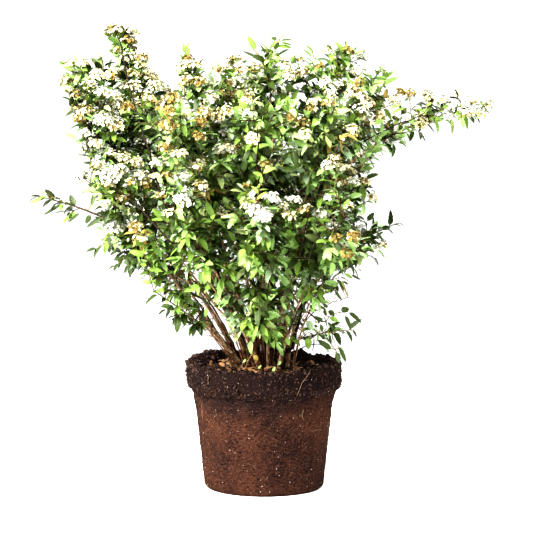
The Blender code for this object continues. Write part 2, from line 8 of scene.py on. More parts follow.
import json
import logging
import math
import random
from dataclasses import dataclass, field
from enum import Enum

import bmesh
import bpy
import numpy as np
from mathutils import Matrix, Vector, noise

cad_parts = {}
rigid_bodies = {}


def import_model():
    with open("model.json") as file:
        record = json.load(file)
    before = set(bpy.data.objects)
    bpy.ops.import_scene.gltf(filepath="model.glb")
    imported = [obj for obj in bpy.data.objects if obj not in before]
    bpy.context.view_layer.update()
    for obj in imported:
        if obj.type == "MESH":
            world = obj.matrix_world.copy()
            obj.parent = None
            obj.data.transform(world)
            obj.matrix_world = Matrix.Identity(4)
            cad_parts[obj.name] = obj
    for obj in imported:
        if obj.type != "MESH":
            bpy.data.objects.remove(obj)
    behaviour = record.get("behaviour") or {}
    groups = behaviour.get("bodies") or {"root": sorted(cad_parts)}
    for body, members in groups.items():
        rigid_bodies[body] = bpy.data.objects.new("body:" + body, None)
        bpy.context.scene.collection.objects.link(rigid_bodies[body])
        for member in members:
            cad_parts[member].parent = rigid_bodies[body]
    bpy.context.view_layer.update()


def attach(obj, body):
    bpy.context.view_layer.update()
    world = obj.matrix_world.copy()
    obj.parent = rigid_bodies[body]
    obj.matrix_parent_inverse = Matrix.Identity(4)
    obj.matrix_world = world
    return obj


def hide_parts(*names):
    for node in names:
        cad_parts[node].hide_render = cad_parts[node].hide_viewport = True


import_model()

log = logging.getLogger("spirea")

Colour = tuple[float, float, float]
UP = Vector((0.0, 0.0, 1.0))
GOLDEN_TURN = math.radians(137.5)
LEAF_WIDTH = 0.43


class Tone(Enum):
    """The greens of a spray of leaves. The deep green is partly the older leaves' own darker green and
    partly painted shade, the lit green partly young leaves and partly painted light, and the greyish green
    partly the leaves' own dull green and partly a painted sky reflection.
    """

    DEEP = "deep"
    MID = "mid"
    BRIGHT = "bright"
    GREY = "grey"
    TIP = "tip"
    YELLOW = "yellow"
    DRY = "dry"


class Look(Enum):
    """The barks of the thin stems."""

    DARK = "dark"
    ORANGE = "orange"
    TAN = "tan"
    GREEN = "green"


class Draw(Enum):
    """What each kind of growth multiplies the seed by, so that each draws its own numbers."""

    INSIDE = 3
    LOW = 5
    SPRIG = 7
    LITTER = 11
    CLUSTER = 13
    LONE = 17


DEEP, MID, BRIGHT, GREY, TIP, YELLOW, DRY = Tone
DARK, ORANGE, TAN, GREEN = Look


class Age(Enum):
    """How far a flower has faded."""

    FRESH = "fresh"
    CREAM = "cream"
    FADED = "faded"


@dataclass(frozen=True)
class Wand:
    """One limb and the mass it carries, as the source's table has it.

    The furthest point of the foliage, how far the arc bows up, its bare share, the half
    width of the foliage, the radius at the foot, the share of shoots that flower, the cane
    that a bough forks from and how far up, the share of its flowers that have faded, how
    much narrower than its reach it has grown, the share of its bare part that has no
    spurs at all, and the share of its side shoots that it has lost.
    """

    name: str
    tip: tuple[float, float, float]
    bow: float
    bare: float
    spread: float
    radius: float
    bloom: float
    parent: str | None = None
    fork: float = 0.0
    faded: float = 0.35
    slim: float = 1.0
    clean: float = 0.42
    lost: float = 0.0


WANDS = [
    Wand("shoulder_left", (-0.350, -0.050, 0.765), 0.12, 0.40, 0.100, 0.0056, 1.0),
    Wand("lobe_left", (-0.296, -0.120, 0.578), -0.01, 0.36, 0.100, 0.0062, 1.0,
         clean=0.85),
    Wand("shoot_left", (-0.418, -0.045, 0.532), 0.28, 0.52, 0.055, 0.0048, 0.0,
         slim=0.6, clean=0.75, lost=0.8),
    Wand("top_left", (-0.140, -0.040, 0.780), 0.06, 0.42, 0.072, 0.0048, 0.9, faded=0.7),
    Wand("top_middle", (0.004, 0.000, 0.810), 0.04, 0.36, 0.110, 0.0050, 0.3),
    Wand("top_right", (0.145, 0.010, 0.802), 0.08, 0.40, 0.100, 0.0050, 0.7),
    Wand("branch_right", (0.418, 0.030, 0.692), 0.48, 0.50, 0.055, 0.0056, 1.0,
         faded=0.4, slim=0.8, lost=0.35),
    Wand("front_upper_left", (-0.170, -0.195, 0.690), 0.10, 0.36, 0.105, 0.0046, 0.8, faded=0.6),
    Wand("front_upper", (-0.020, -0.205, 0.715), 0.10, 0.32, 0.105, 0.0046, 0.3),
    Wand("front_upper_right", (0.125, -0.195, 0.700), 0.10, 0.36, 0.105, 0.0044, 0.4),
    Wand("front_left", (-0.165, -0.235, 0.520), 0.12, 0.34, 0.095, 0.0040, 0.6),
    Wand("front_middle", (-0.015, -0.275, 0.515), 0.16, 0.34, 0.095, 0.0038, 0.7, faded=0.2),
    Wand("front_right", (0.135, -0.220, 0.500), 0.12, 0.34, 0.095, 0.0038, 0.4),
    Wand("low_right", (0.256, 0.000, 0.484), 0.33, 0.34, 0.078, 0.0040, 0.4,
         faded=0.9),
    Wand("back_upper_left", (-0.235, 0.160, 0.715), 0.10, 0.36, 0.105, 0.0046, 0.8),
    Wand("back_upper", (-0.072, 0.200, 0.768), 0.10, 0.36, 0.105, 0.0046, 0.7),
    Wand("back_upper_right", (0.155, 0.165, 0.735), 0.10, 0.36, 0.095, 0.0046, 0.7),
    Wand("spire_left", (-0.272, 0.044, 0.835), -0.03, 0.38, 0.070, 0.0032, 1.0,
         "shoulder_left", 0.28, faded=0.4),
    Wand("crest_right", (0.205, -0.115, 0.757), 0.06, 0.32, 0.080, 0.0032, 0.8,
         "top_right", 0.32, slim=0.75),
    Wand("flank_right", (0.190, -0.070, 0.568), 0.08, 0.28, 0.080, 0.0032, 0.5,
         "branch_right", 0.26, faded=0.8),
    Wand("side_left", (-0.328, -0.095, 0.672), 0.08, 0.30, 0.080, 0.0032, 0.9,
         "shoulder_left", 0.34),
    Wand("side_right", (0.200, 0.050, 0.668), 0.08, 0.30, 0.068, 0.0032, 0.7,
         "back_upper_right", 0.30),
    Wand("skirt_left", (-0.278, -0.010, 0.432), 0.10, 0.25, 0.075, 0.0030, 0.2,
         "shoulder_left", 0.20),
    Wand("low_left", (-0.196, -0.150, 0.374), 0.02, 0.22, 0.072, 0.0026, 0.0,
         "lobe_left", 0.16, slim=0.75),
    Wand("front_low", (-0.010, -0.205, 0.350), 0.10, 0.20, 0.075, 0.0024, 0.0,
         "front_middle", 0.14),
    Wand("rim_right", (0.172, -0.065, 0.292), 0.10, 0.20, 0.065, 0.0022, 0.0,
         "low_right", 0.12, slim=0.7, lost=0.5),
    Wand("back_left", (-0.215, 0.190, 0.500), 0.10, 0.24, 0.100, 0.0032, 0.5,
         "back_upper_left", 0.24),
    Wand("back_middle", (-0.010, 0.275, 0.535), 0.10, 0.24, 0.100, 0.0032, 0.5,
         "back_upper", 0.24),
    Wand("back_right", (0.185, 0.195, 0.490), 0.10, 0.24, 0.100, 0.0032, 0.5,
         "back_upper_right", 0.24),
]
LIMB_NODES = [("bough_" if wand.parent else "cane_") + wand.name for wand in WANDS]
FOLIAGE_NODES = ["foliage_" + wand.name for wand in WANDS]


def linear(colour: Colour) -> tuple[float, float, float, float]:
    """Turns a colour of 0 to 255 steps, as seen, into the scene's linear values.

    Args:
        colour: Red, green and blue from 0 to 255.

    Returns:
        The linear colour with full alpha.
    """
    shares = [step / 255.0 for step in colour]
    curve = [s / 12.92 if s <= 0.04045 else ((s + 0.055) / 1.055) ** 2.4 for s in shares]
    return (curve[0], curve[1], curve[2], 1.0)


class Socket:
    """An output of a material's node, with the arithmetic that the finishes use."""

    def __init__(self, tree: "FinishTree", output: bpy.types.NodeSocket) -> None:
        """Keeps the tree, so that an expression can add its nodes there."""
        self.tree = tree
        self.output = output

    def pick(self, name: str) -> "Socket":
        """Another output of the same node."""
        return Socket(self.tree, self.output.node.outputs[name])

    def __add__(self, other: "Socket | float") -> "Socket":
        """Sum."""
        return self.tree.maths("ADD", self, other)

    __radd__ = __add__

    def __mul__(self, other: "Socket | float") -> "Socket":
        """Product."""
        return self.tree.maths("MULTIPLY", self, other)

    def __sub__(self, other: "Socket | float") -> "Socket":
        """Difference."""
        return self.tree.maths("SUBTRACT", self, other)

    def __rsub__(self, other: "Socket | float") -> "Socket":
        """Difference from a number."""
        return self.tree.maths("SUBTRACT", other, self)

    def clamp(self) -> "Socket":
        """The value held between 0 and 1."""
        return self.tree.node("ShaderNodeClamp", inputs={"Value": self})

    def size(self) -> "Socket":
        """The value without its sign."""
        return self.tree.maths("ABSOLUTE", self, 0.0)


class FinishTree:
    """A new material and the nodes that make its finish."""

    def __init__(self, name: str) -> None:
        """Starts from a plain Principled material.

        Args:
            name: The material's name.
        """
        self.material = bpy.data.materials.new(name)
        self.material.use_nodes = True
        self.nodes = self.material.node_tree.nodes
        self.links = self.material.node_tree.links
        self.shader = self.nodes["Principled BSDF"]

    def node(
        self, kind: str, settings: dict | None = None, inputs: dict | None = None, output: str = ""
    ) -> Socket:
        """Adds a node.

        Args:
            kind: The node's type.
            settings: Its own settings, set first; "stops" are a ramp's positions and colours.
            inputs: Values or sockets by the name or identifier of its inputs.
            output: The output wanted, or the first one.

        Returns:
            That output.
        """
        made = self.nodes.new(kind)
        for key, value in (settings or {}).items():
            if key == "stops":
                ramp = made.color_ramp
                ramp.elements[0].position, ramp.elements[0].color = value[0]
                ramp.elements[1].position, ramp.elements[1].color = value[-1]
                for position, colour in value[1:-1]:
                    ramp.elements.new(position).color = colour
            else:
                setattr(made, key, value)
        for key, value in (inputs or {}).items():
            found = [item for item in made.inputs if key in (item.identifier, item.name)]
            self.feed(found[0], value)
        named = [item for item in made.outputs if output in (item.identifier, item.name)]
        return Socket(self, named[0] if named else made.outputs[0])

    def feed(self, socket: bpy.types.NodeSocket, value: object) -> None:
        """Links a socket, or sets its value.

        Args:
            socket: The input.
            value: The socket to link, or the value to set.
        """
        if isinstance(value, Socket):
            self.links.new(value.output, socket)
        else:
            socket.default_value = value

    def maths(self, operation: str, first: Socket | float, second: Socket | float) -> Socket:
        """A Math node.

        Args:
            operation: The node's operation.
            first: Its first value.
            second: Its second value.

        Returns:
            Its output.
        """
        made = self.nodes.new("ShaderNodeMath")
        made.operation = operation
        self.feed(made.inputs[0], first)
        self.feed(made.inputs[1], second)
        return Socket(self, made.outputs[0])

    def mix(self, share: Socket | float, first: object, second: object) -> Socket:
        """Mixes two colours by a share."""
        inputs = {"Factor_Float": share, "A_Color": first, "B_Color": second}
        return self.node("ShaderNodeMix", {"data_type": "RGBA"}, inputs, "Result_Color")

    def noise(self, where: Socket, scale: float, detail: float = 3.0, rough: float = 0.55) -> Socket:
        """A noise value between 0 and 1."""
        inputs = {"Vector": where, "Scale": scale, "Detail": detail, "Roughness": rough}
        return self.node("ShaderNodeTexNoise", None, inputs, "Fac")

    def stretched(self, where: Socket, scale: tuple[float, float, float]) -> Socket:
        """The coordinates stretched along their axes."""
        return self.node("ShaderNodeMapping", None, {"Vector": where, "Scale": scale})

    def steps(self, value: Socket, low: float, high: float) -> Socket:
        """The value brought from its range to 0 to 1, and held there."""
        inputs = {"Value": value, "From Min": low, "From Max": high}
        return self.node("ShaderNodeMapRange", {"clamp": True}, inputs)

    def finish(self, colour: object, roughness: object, bump: Socket | None = None,
               distance: float = 0.0005, shine: float = 0.5) -> bpy.types.Material:
        """Feeds the shader.

        Args:
            colour: The base colour or its socket.
            roughness: The roughness or its socket.
            bump: The height that drives the bump, if any.
            distance: How deep the bump is, in metres.
            shine: How strongly the surface mirrors, 0.5 being the usual.

        Returns:
            The material.
        """
        self.feed(self.shader.inputs["Base Color"], colour)
        self.feed(self.shader.inputs["Roughness"], roughness)
        self.feed(self.shader.inputs["Specular IOR Level"], shine)
        if bump is not None:
            height = {"Height": bump, "Distance": distance, "Strength": 1.0}
            self.feed(self.shader.inputs["Normal"], self.node("ShaderNodeBump", None, height))
        return self.material


@dataclass(frozen=True)
class LeafFinish:
    """A leaf's blade: its green, a paler midrib, side veins and a slight mottle."""

    tone: Tone
    colour: Colour
    roughness: float = 0.40
    veins: float = 11.0

    def build(self) -> bpy.types.Material:
        """Makes the material.

        Returns:
            The material.
        """
        tree = FinishTree("leaf_" + self.tone.value)
        across = tree.node(
            "ShaderNodeSeparateXYZ",
            inputs={"Vector": tree.node("ShaderNodeUVMap", {"uv_map": "UVMap"})},
            output="X",
        )
        off_rib = (across - 0.5).size()
        rib = 1.0 - tree.steps(off_rib, 0.0, 0.09)
        slant = (across.pick("Y") - off_rib * 0.42) * self.veins
        vein = tree.maths("FRACT", slant, 0.0)
        vein = tree.steps((vein - 0.5).size(), 0.36, 0.5) * 0.6
        where = tree.node("ShaderNodeTexCoord", output="Object")
        mottle = tree.noise(where, 38.0, 2.0)
        base = linear(self.colour)
        dark = tuple(0.72 * part for part in base[:3]) + (1.0,)
        pale = tuple(min(1.0, 1.35 * part + 0.02) for part in base[:3]) + (1.0,)
        colour = tree.mix(tree.steps(mottle, 0.30, 0.70), dark, base)
        colour = tree.mix((rib + vein).clamp() * 0.45, colour, pale)
        rough = self.roughness + mottle * 0.12
        return tree.finish(colour, rough, rib + vein, 0.0003, 0.32)


@dataclass(frozen=True)
class PetalFinish:
    """A petal: plain and matt, a little darker in patches."""

    age: Age
    colour: Colour
    patch: Colour
    roughness: float = 0.55

    def build(self) -> bpy.types.Material:
        """Makes the material.

        Returns:
            The material.
        """
        tree = FinishTree("petal_" + self.age.value)
        where = tree.node("ShaderNodeTexCoord", output="Object")
        patchy = tree.steps(tree.noise(where, 160.0, 2.0), 0.45, 0.70)
        colour = tree.mix(patchy, linear(self.colour), linear(self.patch))
        return tree.finish(colour, self.roughness, shine=0.15)


@dataclass(frozen=True)
class MottledFinish:
    """A finish of two colours in fine patches, for crumbs, threads, twigs and flower eyes."""

    name: str
    colour: Colour
    other: Colour
    scale: float
    roughness: float
    depth: float = 0.0003

    def build(self) -> bpy.types.Material:
        """Makes the material.

        Returns:
            The material.
        """
        tree = FinishTree(self.name)
        where = tree.node("ShaderNodeTexCoord", output="Object")
        grain = tree.noise(where, self.scale, 4.0)
        colour = tree.mix(tree.steps(grain, 0.35, 0.65), linear(self.colour), linear(self.other))
        return tree.finish(colour, self.roughness, grain, self.depth, 0.12)


@dataclass(frozen=True)
class BarkFinish:
    """Old spirea bark: brown, with pale strips that are partly peeling bark and partly a painted highlight
    on the raised relief, dark cracks that are partly real fissures and partly painted shade in them, and
    young and dark further out.
    """

    brown: Colour = (128, 90, 64)
    pale: Colour = (228, 198, 160)
    dark: Colour = (22, 13, 10)
    young: Colour = (52, 36, 28)
    young_away: tuple[float, float] = (0.17, 0.22)
    roughness: float = 0.78

    def build(self) -> bpy.types.Material:
        """Makes the material.

        Returns:
            The material.
        """
        tree = FinishTree("cane_bark")
        uv = tree.node("ShaderNodeUVMap", {"uv_map": "UVMap"})
        where = tree.node("ShaderNodeTexCoord", output="Object")
        strips = tree.noise(tree.stretched(uv, (7.0, 26.0, 1.0)), 1.0, 5.0, 0.65)
        cracks = tree.noise(tree.stretched(uv, (16.0, 60.0, 1.0)), 1.0, 4.0, 0.7)
        patches = tree.noise(where, 42.0, 3.0)
        # Pale strips where the bark stands proud: partly peeling bark, partly a painted highlight.
        colour = tree.mix(tree.steps(strips, 0.40, 0.62), linear(self.brown), linear(self.pale))
        colour = tree.mix(tree.steps(patches, 0.50, 0.68) * 0.7, colour, linear(self.brown))
        # Near black in the cracks, where the bump sinks: partly dark fissures, partly painted shade.
        colour = tree.mix(tree.steps(cracks, 0.53, 0.43) * 0.9, colour, linear(self.dark))
        flat = tree.stretched(where, (1.0, 1.0, 0.0))
        away = tree.node("ShaderNodeVectorMath", {"operation": "LENGTH"}, {"Vector": flat}, "Value")
        outer = tree.steps(away, *self.young_away) * 0.85
        colour = tree.mix(outer, colour, linear(self.young))
        return tree.finish(colour, self.roughness, strips + cracks, 0.0012, 0.15)


@dataclass(frozen=True)
class SoilFinish:
    """The root ball: matted brown roots, a dark crumbly collar, and black pores, which are painted shade in
    the hollows of the mat.
    """

    fibre: Colour = (70, 45, 34)
    earth: Colour = (47, 31, 26)
    light: Colour = (104, 71, 54)
    collar: Colour = (34, 25, 24)
    pore_shade: Colour = (8, 6, 5)
    collar_height: float = 0.160
    fade: float = 0.024

    def build(self) -> bpy.types.Material:
        """Makes the material.

        Returns:
            The material.
        """
        tree = FinishTree("root_ball_earth")
        where = tree.node("ShaderNodeTexCoord", output="Object")
        height = tree.node("ShaderNodeSeparateXYZ", inputs={"Vector": where}, output="Z")
        broad = tree.noise(where, 11.0, 4.0)
        grain = tree.noise(where, 300.0, 5.0, 0.75)
        threads = tree.noise(tree.stretched(where, (150.0, 150.0, 340.0)), 1.0, 6.0, 0.8)
        colour = tree.mix(tree.steps(broad, 0.36, 0.62), linear(self.fibre), linear(self.earth))
        # Paler brown on the raised threads: partly paler roots, partly a painted highlight.
        colour = tree.mix(tree.steps(threads, 0.54, 0.66) * 0.8, colour, linear(self.light))
        edge = height + (broad - 0.5) * 0.13
        low, high = self.collar_height - self.fade, self.collar_height + self.fade
        colour = tree.mix(tree.steps(edge, low, high) * 0.90, colour, linear(self.collar))
        # Painted shade: near black where the threads and the grain are lowest, in the hollows that the bump
        # sinks.
        colour = tree.mix(tree.steps(threads, 0.48, 0.38) * 0.8, colour, linear(self.pore_shade))
        colour = tree.mix(tree.steps(grain, 0.47, 0.37) * 0.9, colour, linear(self.pore_shade))
        return tree.finish(colour, 0.95, grain + threads, 0.0016, 0.04)


@dataclass(frozen=True)
class FloorFinish:
    """The plain pale floor of the studio."""

    colour: Colour = (252, 252, 252)
    roughness: float = 0.9

    def build(self) -> bpy.types.Material:
        """The material."""
        tree = FinishTree("studio_floor")
        return tree.finish(linear(self.colour), self.roughness)


def turned_round(direction: Vector, angle: float, turn: float) -> Vector:
    """Leans a direction over, as the source does.

    Args:
        direction: The unit direction to start from.
        angle: How far it leans.
        turn: To which side.

    Returns:
        The new unit direction.
    """
    side = direction.orthogonal().normalized()
    other = direction.cross(side)
    lean = side * math.cos(turn) + other * math.sin(turn)
    return (direction * math.cos(angle) + lean * math.sin(angle)).normalized()


def upright(direction: Vector, facing: Vector) -> Matrix:
    """A rotation whose Y runs along the direction and whose Z is as near the facing as can be.

    Args:
        direction: Where Y points.
        facing: What Z turns to.

    Returns:
        The rotation.
    """
    across = direction.cross(facing)
    if across.length < 1e-4:
        across = direction.orthogonal()
    across.normalize()
    return Matrix((across, direction, across.cross(direction))).transposed()


def new_object(name: str, mesh: bpy.types.Mesh, finish: bpy.types.Material) -> bpy.types.Object:
    """Links a mesh to the scene with its one material.

    Args:
        name: Its name.
        mesh: Its mesh.
        finish: Its one material.

    Returns:
        The object.
    """
    piece = bpy.data.objects.new(name, mesh)
    mesh.materials.clear()
    mesh.materials.append(finish)
    bpy.context.scene.collection.objects.link(piece)
    return piece


def add_piece(
    name: str, mesh: bpy.types.Mesh, finish: bpy.types.Material, stands_for: list[str]
) -> None:
    """Adds a finished piece that rides on the one body, and logs it.

    Args:
        name: Its name.
        mesh: Its mesh.
        finish: Its one material.
        stands_for: The frame's nodes that it stands for.
    """
    piece = new_object(name, mesh, finish)
    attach(piece, "root")
    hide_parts(*stands_for)
    mesh.calc_loop_triangles()
    log.info("%-22s %7d triangles", piece.name, len(mesh.loop_triangles))


def any_way(rng: random.Random, low: float = -1.0, high: float = 1.0) -> Vector:
    """A random shift of up to 1 across, and of low to high upwards."""
    return Vector((rng.uniform(-1, 1), rng.uniform(-1, 1), rng.uniform(low, high)))


def flat_way(rng: random.Random) -> Vector:
    """A random level shift of up to 1 across."""
    return Vector((rng.uniform(-1, 1), rng.uniform(-1, 1), 0.0))


def share_of(value: float, low: float, rise: float) -> float:
    """How far a value has come from a low one through a rise, held between 0 and 1."""
    return min(1.0, max(0.0, (value - low) / rise))


def placement(turn: Matrix, spot: Vector) -> np.ndarray:
    """The 3 by 4 matrix of a copy."""
    return np.column_stack([np.array(turn), spot])


def joined_copies(
    name: str, masters: list[bpy.types.Mesh], places: list[list[np.ndarray]]
) -> bpy.types.Mesh:
    """Joins many placed copies of a few small meshes into one.

    Args:
        name: The new mesh's name.
        masters: The small meshes, each of quads or triangles with a UV map.
        places: For each of them, its copies' 3 by 4 matrices.

    Returns:
        The joined mesh.
    """
    corners, starts, totals, points, flat = [], [], [], [], []
    used, loops = 0, 0
    for master, copies in zip(masters, places):
        count = len(copies)
        if not count:
            continue
        matrices = np.array(copies)
        local = np.empty(len(master.vertices) * 3)
        master.vertices.foreach_get("co", local)
        local = local.reshape(-1, 3)
        placed = np.einsum("nij,vj->nvi", matrices[:, :, :3], local) + matrices[:, None, :, 3]
        points.append(placed.reshape(-1, 3))
        indices = np.empty(len(master.loops), np.int64)
        master.loops.foreach_get("vertex_index", indices)
        shifts = np.arange(count)[:, None] * len(local) + used
        corners.append((indices[None] + shifts).reshape(-1))
        total = np.empty(len(master.polygons), np.int64)
        start = np.empty(len(master.polygons), np.int64)
        master.polygons.foreach_get("loop_total", total)
        master.polygons.foreach_get("loop_start", start)
        shifts = np.arange(count)[:, None] * len(indices) + loops
        starts.append((start[None] + shifts).reshape(-1))
        totals.append(np.tile(total, count))
        uv = np.zeros(len(indices) * 2)
        master.uv_layers[0].data.foreach_get("uv", uv)
        flat.append(np.tile(uv, count))
        used += count * len(local)
        loops += count * len(indices)
    mesh = bpy.data.meshes.new(name)
    mesh.vertices.add(used)
    mesh.vertices.foreach_set("co", np.concatenate(points).ravel())
    mesh.loops.add(loops)
    mesh.loops.foreach_set("vertex_index", np.concatenate(corners).astype(np.int32))
    mesh.polygons.add(sum(len(part) for part in starts))
    mesh.polygons.foreach_set("loop_start", np.concatenate(starts).astype(np.int32))
    mesh.polygons.foreach_set("loop_total", np.concatenate(totals).astype(np.int32))
    mesh.update(calc_edges=True)
    mesh.uv_layers.new(name="UVMap").data.foreach_set("uv", np.concatenate(flat))
    mesh.validate()
    mesh.shade_smooth()
    return mesh


def new_bmesh() -> bmesh.types.BMesh:
    """An empty bmesh with a UV map.

    Returns:
        The bmesh.
    """
    bm = bmesh.new()
    bm.loops.layers.uv.new("UVMap")
    return bm


def mesh_of(bm: bmesh.types.BMesh, name: str) -> bpy.types.Mesh:
    """Ends a bmesh and keeps it as a mesh.

    Args:
        bm: The bmesh, which is freed.
        name: The mesh's name.

    Returns:
        The mesh.
    """
    mesh = bpy.data.meshes.new(name)
    bm.to_mesh(mesh)
    bm.free()
    return mesh


@dataclass
class Line:
    """A thin stem: its points from root to tip, and its radius at each."""

    points: list[Vector]
    radii: list[float]


def bent(
    first: Vector, middle: Vector, last: Vector, thick: float, thin: float, steps: int = 4
) -> Line:
    """A thin stem along a parabola, thinning evenly.

    Args:
        first: Its root.
        middle: The parabola's control point.
        last: Its tip.
        thick: Its radius at the root.
        thin: Its radius at the tip.
        steps: How many straight runs it has.

    Returns:
        Its line.
    """
    shares = [k / steps for k in range(steps + 1)]
    points = [first * (1 - t) ** 2 + middle * 2 * t * (1 - t) + last * t * t for t in shares]
    return Line(points, [thick + (thin - thick) * t for t in shares])


def tubes(name: str, lines: list[Line]) -> bpy.types.Mesh:
    """Four-sided tubes along many lines, as one mesh.

    Args:
        name: The mesh's name.
        lines: The lines.

    Returns:
        The mesh.
    """
    curve = bpy.data.curves.new(name, "CURVE")
    curve.dimensions = "3D"
    curve.bevel_depth = 1.0
    curve.bevel_resolution = 0
    curve.use_fill_caps = True
    for line in lines:
        spline = curve.splines.new("POLY")
        spline.points.add(len(line.points) - 1)
        flat = [part for point in line.points for part in (*point, 1.0)]
        spline.points.foreach_set("co", flat)
        spline.points.foreach_set("radius", line.radii)
    guide = bpy.data.objects.new(name, curve)
    bpy.context.scene.collection.objects.link(guide)
    graph = bpy.context.evaluated_depsgraph_get()
    mesh = bpy.data.meshes.new_from_object(guide.evaluated_get(graph))
    bpy.data.objects.remove(guide)
    bpy.data.curves.remove(curve)
    mesh.name = name
    mesh.shade_smooth()
    return mesh


class Arc:
    """A wand's whole path, one parabola from its foot to its furthest tip."""

    STRETCH = 0.6

    def __init__(self, wand: Wand, foot: Vector) -> None:
        """Works out the parabola's control point, as the source does.

        Args:
            wand: The wand.
            foot: Where it starts.
        """
        tip = Vector(wand.tip)
        chord = tip - foot
        along = chord.normalized()
        upward = (UP - along * along.z).normalized()
        self.foot = foot
        self.tip = tip
        self.control = foot + chord * 0.5 + upward * wand.bow * chord.length
        self.length = chord.length * (1.0 + self.STRETCH * wand.bow**2)

    def point(self, t: float) -> Vector:
        """The point at share t of the way."""
        s = 1.0 - t
        return self.foot * s * s + self.control * 2 * s * t + self.tip * t * t

    def direction(self, t: float) -> Vector:
        """The unit tangent at share t."""
        return ((self.control - self.foot) * (1 - t) + (self.tip - self.control) * t).normalized()


@dataclass
class Skeleton:
    """Where the canes stand and how every limb runs, worked out as in the source."""

    soil_top: float = 0.216
    middle: tuple[float, float] = (0.006, -0.004)
    ring: tuple[float, float] = (0.062, 0.050)
    spacing: float = 0.004
    rounds: int = 200
    flare: float = 0.45
    flare_height: float = 0.025
    tip_share: float = 0.60
    root_width: float = 0.60
    widest: float = 0.45
    samples: int = 30
    thinnest: float = 0.0008
    above_cost: float = 2.0

    def __post_init__(self) -> None:
        """Eases the feet apart, then lays every arc."""
        feet = self.spread_feet([wand for wand in WANDS if wand.parent is None])
        self.arcs: dict[str, Arc] = {}
        for wand in WANDS:
            if wand.parent:
                foot = self.arcs[wand.parent].point(wand.fork)
            else:
                foot = feet[wand.name]
            self.arcs[wand.name] = Arc(wand, foot)
        shares = [k / self.samples for k in range(self.samples + 1)]
        self.axes = np.array([
            [self.arcs[w.name].point(w.bare + (1 - w.bare) * s) for s in shares] for w in WANDS
        ])
        self.reaches = np.array([[w.spread * self.width_share(s) for s in shares] for w in WANDS])
        self.wood = np.array([self.arcs[w.name].point(s) for w in WANDS for s in shares])

    def foot_of(self, wand: Wand) -> Vector:
        """Where a cane would stand if it had the soil to itself.

        Args:
            wand: The cane's wand.

        Returns:
            The foot's X and Y.
        """
        out = Vector((wand.tip[0] - self.middle[0], wand.tip[1] - self.middle[1]))
        lean = math.atan2(out.length, wand.tip[2] - self.soil_top) / (math.pi / 2)
        side = out.normalized()
        return Vector(self.middle) + Vector((self.ring[0] * side.x, self.ring[1] * side.y)) * lean

    def spread_feet(self, canes: list[Wand]) -> dict[str, Vector]:
        """Eases the canes' feet apart until each is clear of its neighbours.

        Args:
            canes: The wands that stand in the soil.

        Returns:
            Each cane's foot by name.
        """
        feet = [self.foot_of(cane) for cane in canes]
        for _ in range(self.rounds):
            for i, first in enumerate(canes):
                for j in range(i + 1, len(canes)):
                    apart = feet[j] - feet[i]
                    wide = (1.0 + self.flare) * (first.radius + canes[j].radius)
                    if apart.length < wide + self.spacing:
                        push = apart.normalized() * (wide + self.spacing - apart.length) * 0.5
                        feet[i] = feet[i] - push
                        feet[j] = feet[j] + push
        return {cane.name: Vector((*foot, self.soil_top)) for cane, foot in zip(canes, feet)}

    def radius(self, wand: Wand, t: float) -> float:
        """The limb's radius at share t of its arc, on past its bare part to a thin tip.

        Args:
            wand: The limb's wand.
            t: The share of its arc.

        Returns:
            The radius.
        """
        if t > wand.bare:
            thick = wand.radius * self.tip_share
            return thick + (self.thinnest - thick) * (t - wand.bare) / (1.0 - wand.bare)
        taper = wand.radius * (1.0 - (1.0 - self.tip_share) * t / wand.bare)
        flare = 0.0 if wand.parent else self.flare
        return taper * (
            1.0 + flare * math.exp(-t * self.arcs[wand.name].length / self.flare_height)
        )

    def width_share(self, s: float) -> float:
        """How wide a mass is at share s of its axis: an egg's outline.

        Args:
            s: The share of the axis.

        Returns:
            The share of its greatest width.
        """
        if s < self.widest:
            return self.root_width + (1.0 - self.root_width) * math.sin(math.pi / 2 * s / self.widest)
        return math.sqrt(max(0.0, 1.0 - ((s - self.widest) / (1.0 - self.widest)) ** 2))

    def nearest(self, spot: Vector, wood: np.ndarray | None = None) -> Vector:
        """The place of a limb that is nearest to a spot, one below it rather than above.

        Args:
            spot: The spot.
            wood: The places to choose among, if not the limbs'.

        Returns:
            The place.
        """
        wood = self.wood if wood is None else wood
        away = np.linalg.norm(wood - np.array(spot), axis=1)
        away += self.above_cost * np.maximum(0.0, wood[:, 2] - spot.z)
        return Vector(wood[int(away.argmin())])

    def outside(self, points: np.ndarray) -> np.ndarray:
        """How far each point lies outside the masses' reach, below 0 where it is within.

        Args:
            points: The points, one a row.

        Returns:
            One distance for each.
        """
        worst = np.full(len(points), np.inf)
        for axis, reach in zip(self.axes, self.reaches):
            away = np.linalg.norm(points[:, None] - axis[None], axis=2) - reach
            worst = np.minimum(worst, away.min(axis=1))
        return worst


@dataclass(frozen=True)
class Stem:
    """One thin stem that shows at the front: its foot, its top, its radius and its look."""

    foot: tuple[float, float]
    top: tuple[float, float, float]
    radius: float
    look: Look
    bend: float = 0.0


STEMS = [
    Stem((-0.043, -0.020), (-0.140, -0.050, 0.372), 0.0012, DARK, 0.004),
    Stem((-0.036, -0.016), (-0.112, -0.040, 0.362), 0.0010, DARK, 0.008),
    Stem((-0.030, -0.012), (-0.098, -0.030, 0.372), 0.0014, TAN, 0.016),
    Stem((-0.034, -0.030), (-0.064, -0.045, 0.302), 0.0015, ORANGE, 0.004),
    Stem((-0.012, -0.034), (-0.024, -0.050, 0.280), 0.0013, ORANGE, -0.003),
    Stem((-0.028, -0.026), (-0.052, -0.050, 0.342), 0.0016, TAN, 0.006),
    Stem((0.054, -0.010), (0.086, -0.020, 0.360), 0.0013, TAN, -0.010),
    Stem((0.024, -0.032), (0.040, -0.050, 0.345), 0.0011, TAN, -0.004),
    Stem((0.046, -0.004), (0.072, 0.000, 0.400), 0.0012, DARK, -0.012),
    Stem((0.026, -0.024), (0.006, -0.055, 0.440), 0.0050, DARK, 0.002),
    Stem((0.011, -0.030), (-0.0155, -0.060, 0.372), 0.0040, DARK, 0.001),
]


